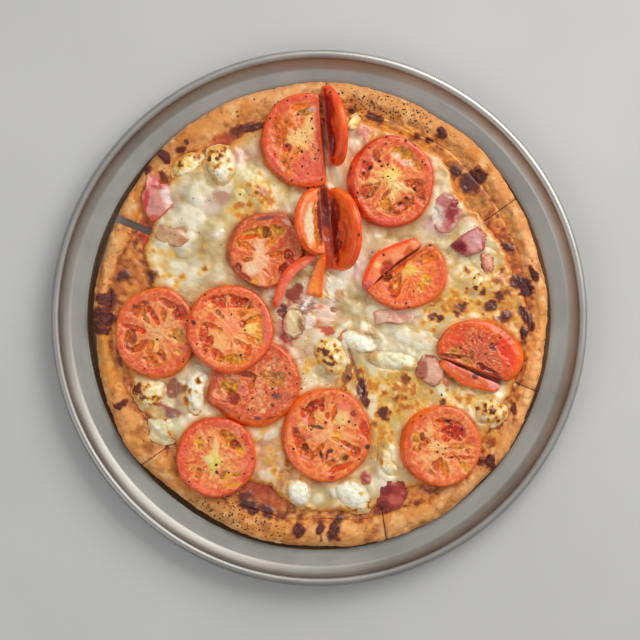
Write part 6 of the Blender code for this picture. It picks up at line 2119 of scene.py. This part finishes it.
def build_pan():
    """The spun sheet, with a soft step, a flange, a flared wall and a rolled bead."""
    bead_out, bead_up, bead = 175.0, 15.0, 2.93
    upper = np.array([(
        (150.0, 1.2), (152.0, 2.1), (154.4, 5.3), (156.0, 6.2), (164.0, 8.0), (166.5, 8.8), (169.9, 11.6),
        (172.0, 14.4), (172.25, 15.6),
    )], dtype=float)
    profile = [(out, 1.2) for out in (3.0, 40.0, 90.0, 130.0)]
    profile += [tuple(place) for place in spline(upper, (4, 4, 4, 4, 4, 5, 5, 2))[0]]
    for degrees in range(165, -131, -15):
        angle = math.radians(degrees)
        profile.append((bead_out + bead * math.cos(angle), bead_up + bead * math.sin(angle)))
    profile += [(172.4, 11.4), (169.2, 9.4), (167.7, 8.1), (162.0, 6.5), (156.6, 5.0), (154.2, 2.0), (152.4, 0.0),
                (100.0, 0.0), (40.0, 0.0), (3.0, 0.0)]
    profile = np.array(profile)
    sectors = 240
    angles = np.arange(sectors) * 2 * math.pi / sectors
    rings = np.stack((
        profile[:, :1] * np.cos(angles), profile[:, :1] * np.sin(angles),
        profile[:, 1:] + np.zeros(sectors),
    ), axis=-1)
    grey = plain(rings[..., 0], 160.0)
    dry = {"Wet": np.zeros(rings.shape[:2])}
    piece = close_disc("spun_pan", rings, grey, dry, metal_material(), (0.0, 0.0))
    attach(piece, "root")
    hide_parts("pan")


# Specks and seeds.

SPECKS = (
    (287, 146, 1.5), (302, 152, 1.6), (318.5, 150.4, 1.4), (308, 187.5, 1.9), (313.6, 186.6, 1.2),
    (270.3, 118.8, 1.3), (302.4, 166.5, 1.3), (292, 180.8, 1.0), (312.6, 129, 1.2), (321.6, 180, 1.3),
    (295.5, 134, 0.9), (305.6, 142, 0.9), (275, 154.4, 1.0), (315, 159, 1.2), (308, 174, 0.9),
    (287.7, 101, 1.2), (275.2, 105, 1.2), (306, 97, 1.2), (298, 114.5, 1.3), (304.6, 112, 1.3),
    (311.5, 119, 1.4), (254.2, 98.8, 1.2), (370.5, 167.8, 2.6), (364, 161.4, 1.5), (363.8, 173.5, 1.7),
    (379.5, 161.4, 1.9), (381.6, 166.4, 1.6), (387.6, 165, 1.5), (385.8, 143.7, 1.4), (386.3, 137.5, 1.5),
    (405.6, 141, 1.6), (414.8, 146.2, 1.1), (422.3, 162, 1.2), (425, 164.6, 1.1), (393, 169.8, 1.2),
    (388, 176.8, 1.3), (383, 177.8, 1.0), (414.6, 189.2, 2.2), (406.2, 198, 1.8), (400, 203, 2.0),
    (413.4, 204, 1.2), (368.2, 197, 1.6), (357.5, 192.8, 1.2), (356.6, 198, 1.2), (369, 148.4, 1.2),
    (351.4, 168.6, 1.3), (349.7, 174.8, 1.3), (383.6, 255, 1.6), (386.6, 275.6, 1.4), (406, 303.4, 1.4),
    (408.6, 307, 1.3), (395.4, 302.5, 0.8), (413.4, 291, 0.9), (429.8, 245.8, 1.7), (188.6, 320.3, 1.4),
    (205.6, 295, 1.2), (261, 304.4, 1.0), (245.4, 330.2, 1.2), (231.8, 314.6, 1.1), (241.6, 354.8, 1.6),
    (221.4, 361.2, 1.2), (198, 343.8, 1.2), (157.5, 339.4, 1.5), (144, 319, 1.0), (183.7, 361.4, 1.1),
    (145, 368.4, 0.9), (175.3, 338, 1.1), (184, 359, 1.0), (252.6, 398.3, 1.1), (248.6, 409.4, 1.2),
    (272.6, 388.3, 1.3), (266.6, 392, 0.9), (297, 383.4, 1.3), (286.2, 368, 1.1), (289.6, 373, 1.0),
    (254.2, 381, 1.2), (239.4, 417.6, 1.1), (216.6, 464.6, 1.7), (217.2, 472, 2.0), (253, 458.2, 1.4),
    (189.4, 481.4, 1.2), (229, 472.3, 1.1), (222.6, 495, 1.0), (226.3, 496.8, 1.1), (242.4, 437.2, 1.0),
    (245.4, 444.5, 0.9), (209.8, 437, 0.9), (208.8, 440.2, 0.9), (244.6, 473.4, 1.0), (222.4, 461.4, 0.8),
    (203.8, 469.4, 0.9), (194, 409.4, 0.9), (325.9, 422.1, 1.4), (310.8, 429.8, 1.2), (339.2, 427.3, 1.2),
    (349, 421.4, 1.6), (355.4, 424.6, 1.2), (341.2, 445.6, 1.1), (306.8, 406.8, 1.2), (302.8, 408.4, 1.0),
    (293.7, 448.5, 1.4), (343.2, 395.6, 1.2), (359.2, 458.6, 1.1), (367.8, 446.8, 2.6), (301.4, 388.6, 1.0),
    (438.4, 444.8, 1.0), (445, 448, 1.1), (437.2, 451.6, 1.3), (442.8, 453.8, 0.9), (427.6, 442.2, 0.9),
    (412.8, 421.6, 0.9), (420.8, 415.8, 1.3), (462, 429.4, 1.5), (341.2, 242.4, 1.8), (316, 211, 0.9),
    (321.5, 199.8, 0.9), (440.4, 318.4, 1.2), (499.8, 337.4, 1.1), (315, 214, 0.8), (430.4, 121, 1.0),
    (338.4, 93.6, 1.5), (342.6, 92.2, 1.3), (330.4, 93.8, 1.5), (364, 96, 1.3), (372, 101, 1.4),
    (388, 96, 1.2), (356, 104, 1.2), (404, 104, 1.4), (396, 112, 1.2), (418, 112, 1.3), (381, 108, 1.1),
    (237, 111.4, 1.0), (238, 115.4, 1.0), (278, 101, 0.8), (240, 194, 1.1), (428, 131, 1.2),
    (442, 395, 1.3),
)

# Slices with ground pepper: middle and radii in pixels, and how many specks.
SEASONED = (
    ((384, 172), (34, 36), 46), ((304, 150), (15, 34), 34), ((266, 396), (26, 24), 34),
    ((330, 434), (34, 36), 26), ((482, 350), (32, 20), 18), ((385, 108), (54, 14), 60),
    ((235, 510), (40, 10), 30), ((442, 448), (30, 32), 10),
)

# How many more specks lie about, how far out, and how far the highest stay below the CAD's top.
LOOSE_SPECKS = 320
SPECKS_REACH = 132.0
TOP_MARGIN = 0.9


def flake_mesh(name, places, finish, colour_of, seed, flat=0.55, stretch=1.0, lift=0.1):
    """Many small blobs joined into one mesh. Each place is a point, a radius in millimetres and a turn."""
    chance = np.random.default_rng(seed)
    rings, sectors = 3, 7
    points, quads, tris, colours = [], [], [], []
    for (x, y, z), radius, turn in places:
        start = len(points)
        jitter = chance.uniform(0.75, 1.2, (rings, sectors))
        tint = colour_of(chance)
        points.append((x, y, z + lift + radius * flat))
        for ring in range(rings):
            level = math.cos(math.pi * (ring + 1) / (rings + 1))
            size = math.sin(math.pi * (ring + 1) / (rings + 1))
            for sector in range(sectors):
                angle = 2 * math.pi * sector / sectors
                across = radius * stretch * size * jitter[ring, sector] * math.cos(angle)
                up = radius * size * jitter[ring, sector] * math.sin(angle)
                points.append((
                    x + across * math.cos(turn) - up * math.sin(turn),
                    y + across * math.sin(turn) + up * math.cos(turn), z + lift + radius * flat * level,
                ))
        points.append((x, y, z + lift - radius * flat))
        colours += [tint] * (2 + rings * sectors)
        for sector in range(sectors):
            after = (sector + 1) % sectors
            tris.append((start, start + 1 + sector, start + 1 + after))
            low = start + 1 + (rings - 1) * sectors
            tris.append((start + 1 + rings * sectors, low + after, low + sector))
            for ring in range(rings - 1):
                row, below = start + 1 + ring * sectors, start + 1 + (ring + 1) * sectors
                quads.append((row + sector, below + sector, below + after, row + after))
    return make_object(name, points, (quads, tris), finish, np.array(colours), {"Wet": np.full(len(points), 0.4)})


def top_of(pieces, x, y):
    """The highest surface over a place."""
    best = None
    start = Vector((x * MM, y * MM, 0.1))
    for low, high, piece in pieces:
        if low[0] <= x <= high[0] and low[1] <= y <= high[1]:
            hit, place, _, _ = piece.ray_cast(start, Vector((0, 0, -1)))
            if hit and (best is None or place.z > best):
                best = place.z
    return None if best is None else best / MM


def boxed(pieces):
    result = []
    for piece in pieces:
        corners = np.array([corner[:] for corner in piece.bound_box]) / MM
        result.append((corners.min(axis=0), corners.max(axis=0), piece))
    return result


def settle(places, pieces, chance, x, y, size, spread=0.0):
    """Adds a speck where a surface is met. Its radius is from the size to that much more."""
    z = top_of(pieces, x, y)
    if z is not None:
        radius = chance.uniform(size, size + spread) if spread else size
        places.append(((x, y, z), radius, chance.uniform(0, math.pi)))


def low_enough(places):
    """Leaves out what would stand out of the CAD's box."""
    return [entry for entry in places if entry[0][2] < CAD_BOX[1][2] / MM - TOP_MARGIN]


def build_specks(pieces):
    chance = np.random.default_rng(29)
    places = []
    for column, row, radius in SPECKS:
        settle(places, pieces, chance, *spot(column, row), radius * PIXEL * 0.85)
    for (column, row), (wide, tall), count in SEASONED:
        for _ in range(count):
            across, up = in_disc(chance)
            settle(places, pieces, chance, *spot(column + wide * across, row + tall * up), 0.2, 0.22)
    for _ in range(LOOSE_SPECKS):
        x, y = PIZZA_CENTRE + SPECKS_REACH * np.array(in_disc(chance))
        settle(places, pieces, chance, x, y, 0.18, 0.2)
    piece = flake_mesh("pepper_specks", low_enough(places), PEPPER,
                       lambda draw: np.array((60, 34, 26)) * draw.uniform(0.5, 1.6), 31, stretch=1.25)
    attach(piece, "root")


def build_seeds(pieces):
    """Seeds in the deeper wells, but for the two slices that show their skin side or a mottled face."""
    chance = np.random.default_rng(37)
    places = []
    for node_name, look in LOOKS.items():
        if node_name in ("tomato_9", "tomato_13"):
            continue
        for at, radii, turn, _, depth in look["wells"]:
            if depth < 1.0 or radii[0] * radii[1] < 9:
                continue
            cos, sin = math.cos(math.radians(turn)), math.sin(math.radians(turn))
            for _ in range(int(radii[0] * radii[1] / 16)):
                across, up = np.array(in_disc(chance)) * radii * 0.75
                x, y = spot(*at) + PIXEL * np.array((across * cos - up * sin, across * sin + up * cos))
                settle(places, pieces, chance, x, y, 0.35, 0.25)
    piece = flake_mesh("tomato_seeds", low_enough(places), TOMATO,
                       lambda draw: np.array((232, 150, 74)) * draw.uniform(0.8, 1.05), 41, flat=0.45, stretch=1.6,
                       lift=0.05)
    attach(piece, "root")


# Putting it together.

build_pan()
PIECES = []
for slice_index in range(len(CUT_ANGLES)):
    PIECES += [crust_slice(slice_index), sauce_slice(slice_index), cheese_slice(slice_index)]
for lump_name in LUMPS:
    PIECES.append(lump_piece(lump_name))
for ham_name in HAM_PIECES:
    PIECES.append(ham_piece(ham_name))
for tomato_name in TOMATOES:
    PIECES.append(tomato_piece(tomato_name))

PIECES.append(strip_piece("tomato_13_strip", (226, 104, 34), (208, 100, 58), -1, 801,
                          ((474.9, 376.4, 3.0, (96, 24, 20)), (469, 375, 1.4, (150, 30, 20)),
                           # The pale pink spot at the right end is a painted highlight.
                           (494, 384, 6.0, (240, 158, 150)), (452, 364, 4.0, (224, 122, 116)))))
PIECES.append(strip_piece("tomato_3_strip", (228, 78, 16), (236, 138, 92), 1, 811,
                          ((377, 265, 3.0, (250, 200, 130)), (368, 285, 5.0, (226, 112, 104))),
                          LOOKS["tomato_3"]["wells"]))
PIECES.append(strip_piece("tomato_6_arc", (226, 84, 26), (228, 116, 92), 1, 821))
PIECES.append(half_piece(
    "tomato_1_half",
    # The face's dark reds, darkest in the low band along its foot, are painted shade on the leaning cut face.
    face_painter((206, 66, 20), (232, 90, 24), (
        ((0, 3), (24, 3.4), 0, (130, 20, 6), 1.0), ((-14, 6), (8, 3), 10, (120, 12, 4), 0.8),
        ((12, 8), (8, 4), -8, (176, 40, 10), 0.6)), 831),
    skin_painter((216, 80, 14), (240, 128, 56), 833)))
PIECES.append(half_piece(
    "tomato_5_left",
    face_painter((238, 146, 98), (238, 128, 72), (
        ((-2, 10), (12, 4.6), -4, (238, 218, 184), 0.8), ((-4, 3.5), (14, 3), 0, (196, 112, 30), 1.0),
        # The thin dark band along the foot is painted shade.
        ((2, 0.8), (16, 1.6), 0, (120, 26, 8), 1.0)), 841),
    skin_painter((224, 96, 14), (246, 146, 66), 843)))
PIECES.append(half_piece(
    "tomato_5_right",
    face_painter((214, 92, 26), (236, 96, 22), (
        # The dark band low on the face is painted shade in its hollow.
        ((0, 3), (22, 4), 0, (118, 18, 4), 1.2), ((-6, 10), (9, 5), 10, (186, 62, 20), 0.9),
        ((-4, 9), (6, 3), 10, (202, 92, 52), -0.5), ((13, 7), (7, 3), -10, (150, 44, 10), 0.6)), 851),
    skin_painter((216, 84, 14), (246, 156, 96), 853, (((-6, 2.6), 1.2),))))
PIECES.append(strip_piece("tomato_6_wedge", (240, 108, 18), (238, 130, 60), 1, 861,
                          ((329, 250, 2.6, (240, 150, 120)), (314, 286, 5.0, (244, 150, 60)))))

bpy.context.view_layer.update()
SURFACES = boxed(PIECES)
build_seeds(SURFACES)
build_specks(SURFACES)


# Floor, light and camera.

def build_floor():
    size = 2500.0
    points = [(-size, -size, 0), (size, -size, 0), (size, size, 0), (-size, size, 0)]
    made, tree, shader = nodes_of("pale_floor")
    coords = node(tree, "ShaderNodeTexCoord").outputs["Object"]
    soft = node(tree, "ShaderNodeTexNoise", Vector=coords, Scale=6.0, Detail=4.0)
    tone = ramp(tree, soft.outputs["Fac"], ((0.3, (0.5, 0.5, 0.495)), (0.7, (0.55, 0.55, 0.545))))
    tree.links.new(tone, shader.inputs["Base Color"])
    shader.inputs["Roughness"].default_value = 0.8
    floor = make_object("floor", points, ([(0, 1, 2, 3)],), made, np.full((4, 3), 220.0), smooth_angle=0)


def area_light(name, place, size, energy, colour):
    data = bpy.data.lights.new(name, "AREA")
    data.shape = "RECTANGLE"
    data.size, data.size_y = size
    data.energy = energy
    data.color = colour
    lamp = bpy.data.objects.new(name, data)
    lamp.location = place
    lamp.rotation_euler = (-Vector(place)).to_track_quat("-Z", "Y").to_euler()
    bpy.context.scene.collection.objects.link(lamp)


def build_world():
    world = bpy.data.worlds.new("soft_studio")
    world.use_nodes = True
    tree = world.node_tree
    coords = node(tree, "ShaderNodeTexCoord").outputs["Generated"]
    parts = node(tree, "ShaderNodeSeparateXYZ", Vector=coords)
    lean = sum_of(tree, "ADD", parts.outputs["X"], parts.outputs["Y"])
    share = node(tree, "ShaderNodeMapRange", Value=lean, From_Min=-1.2, From_Max=1.3).outputs["Result"]
    tone = ramp(tree, share, ((0.0, (0.5, 0.5, 0.51)), (1.0, (1.0, 0.99, 0.97))))
    tree.links.new(tone, tree.nodes["Background"].inputs["Color"])
    tree.nodes["Background"].inputs["Strength"].default_value = 0.58
    bpy.context.scene.world = world


def build_camera():
    data = bpy.data.cameras.new("camera")
    data.sensor_width = SENSOR
    data.lens = LENS
    camera = bpy.data.objects.new("camera", data)
    middle = spot(*PICTURE_MIDDLE)
    camera.location = (middle[0] * MM, middle[1] * MM, CAMERA_HEIGHT * MM)
    bpy.context.scene.collection.objects.link(camera)
    bpy.context.scene.camera = camera


build_floor()
build_world()
area_light("window", (0.75, 0.85, 0.95), (1.2, 0.95), 18.0, (1.0, 0.985, 0.96))
area_light("fill", (-0.9, -0.6, 1.1), (0.9, 0.9), 4.5, (0.97, 0.98, 1.0))
build_camera()

bpy.context.scene.view_settings.view_transform = "Standard"
bpy.context.scene.view_settings.look = "None"
bpy.context.scene.view_settings.exposure = 0.0

bpy.context.view_layer.update()
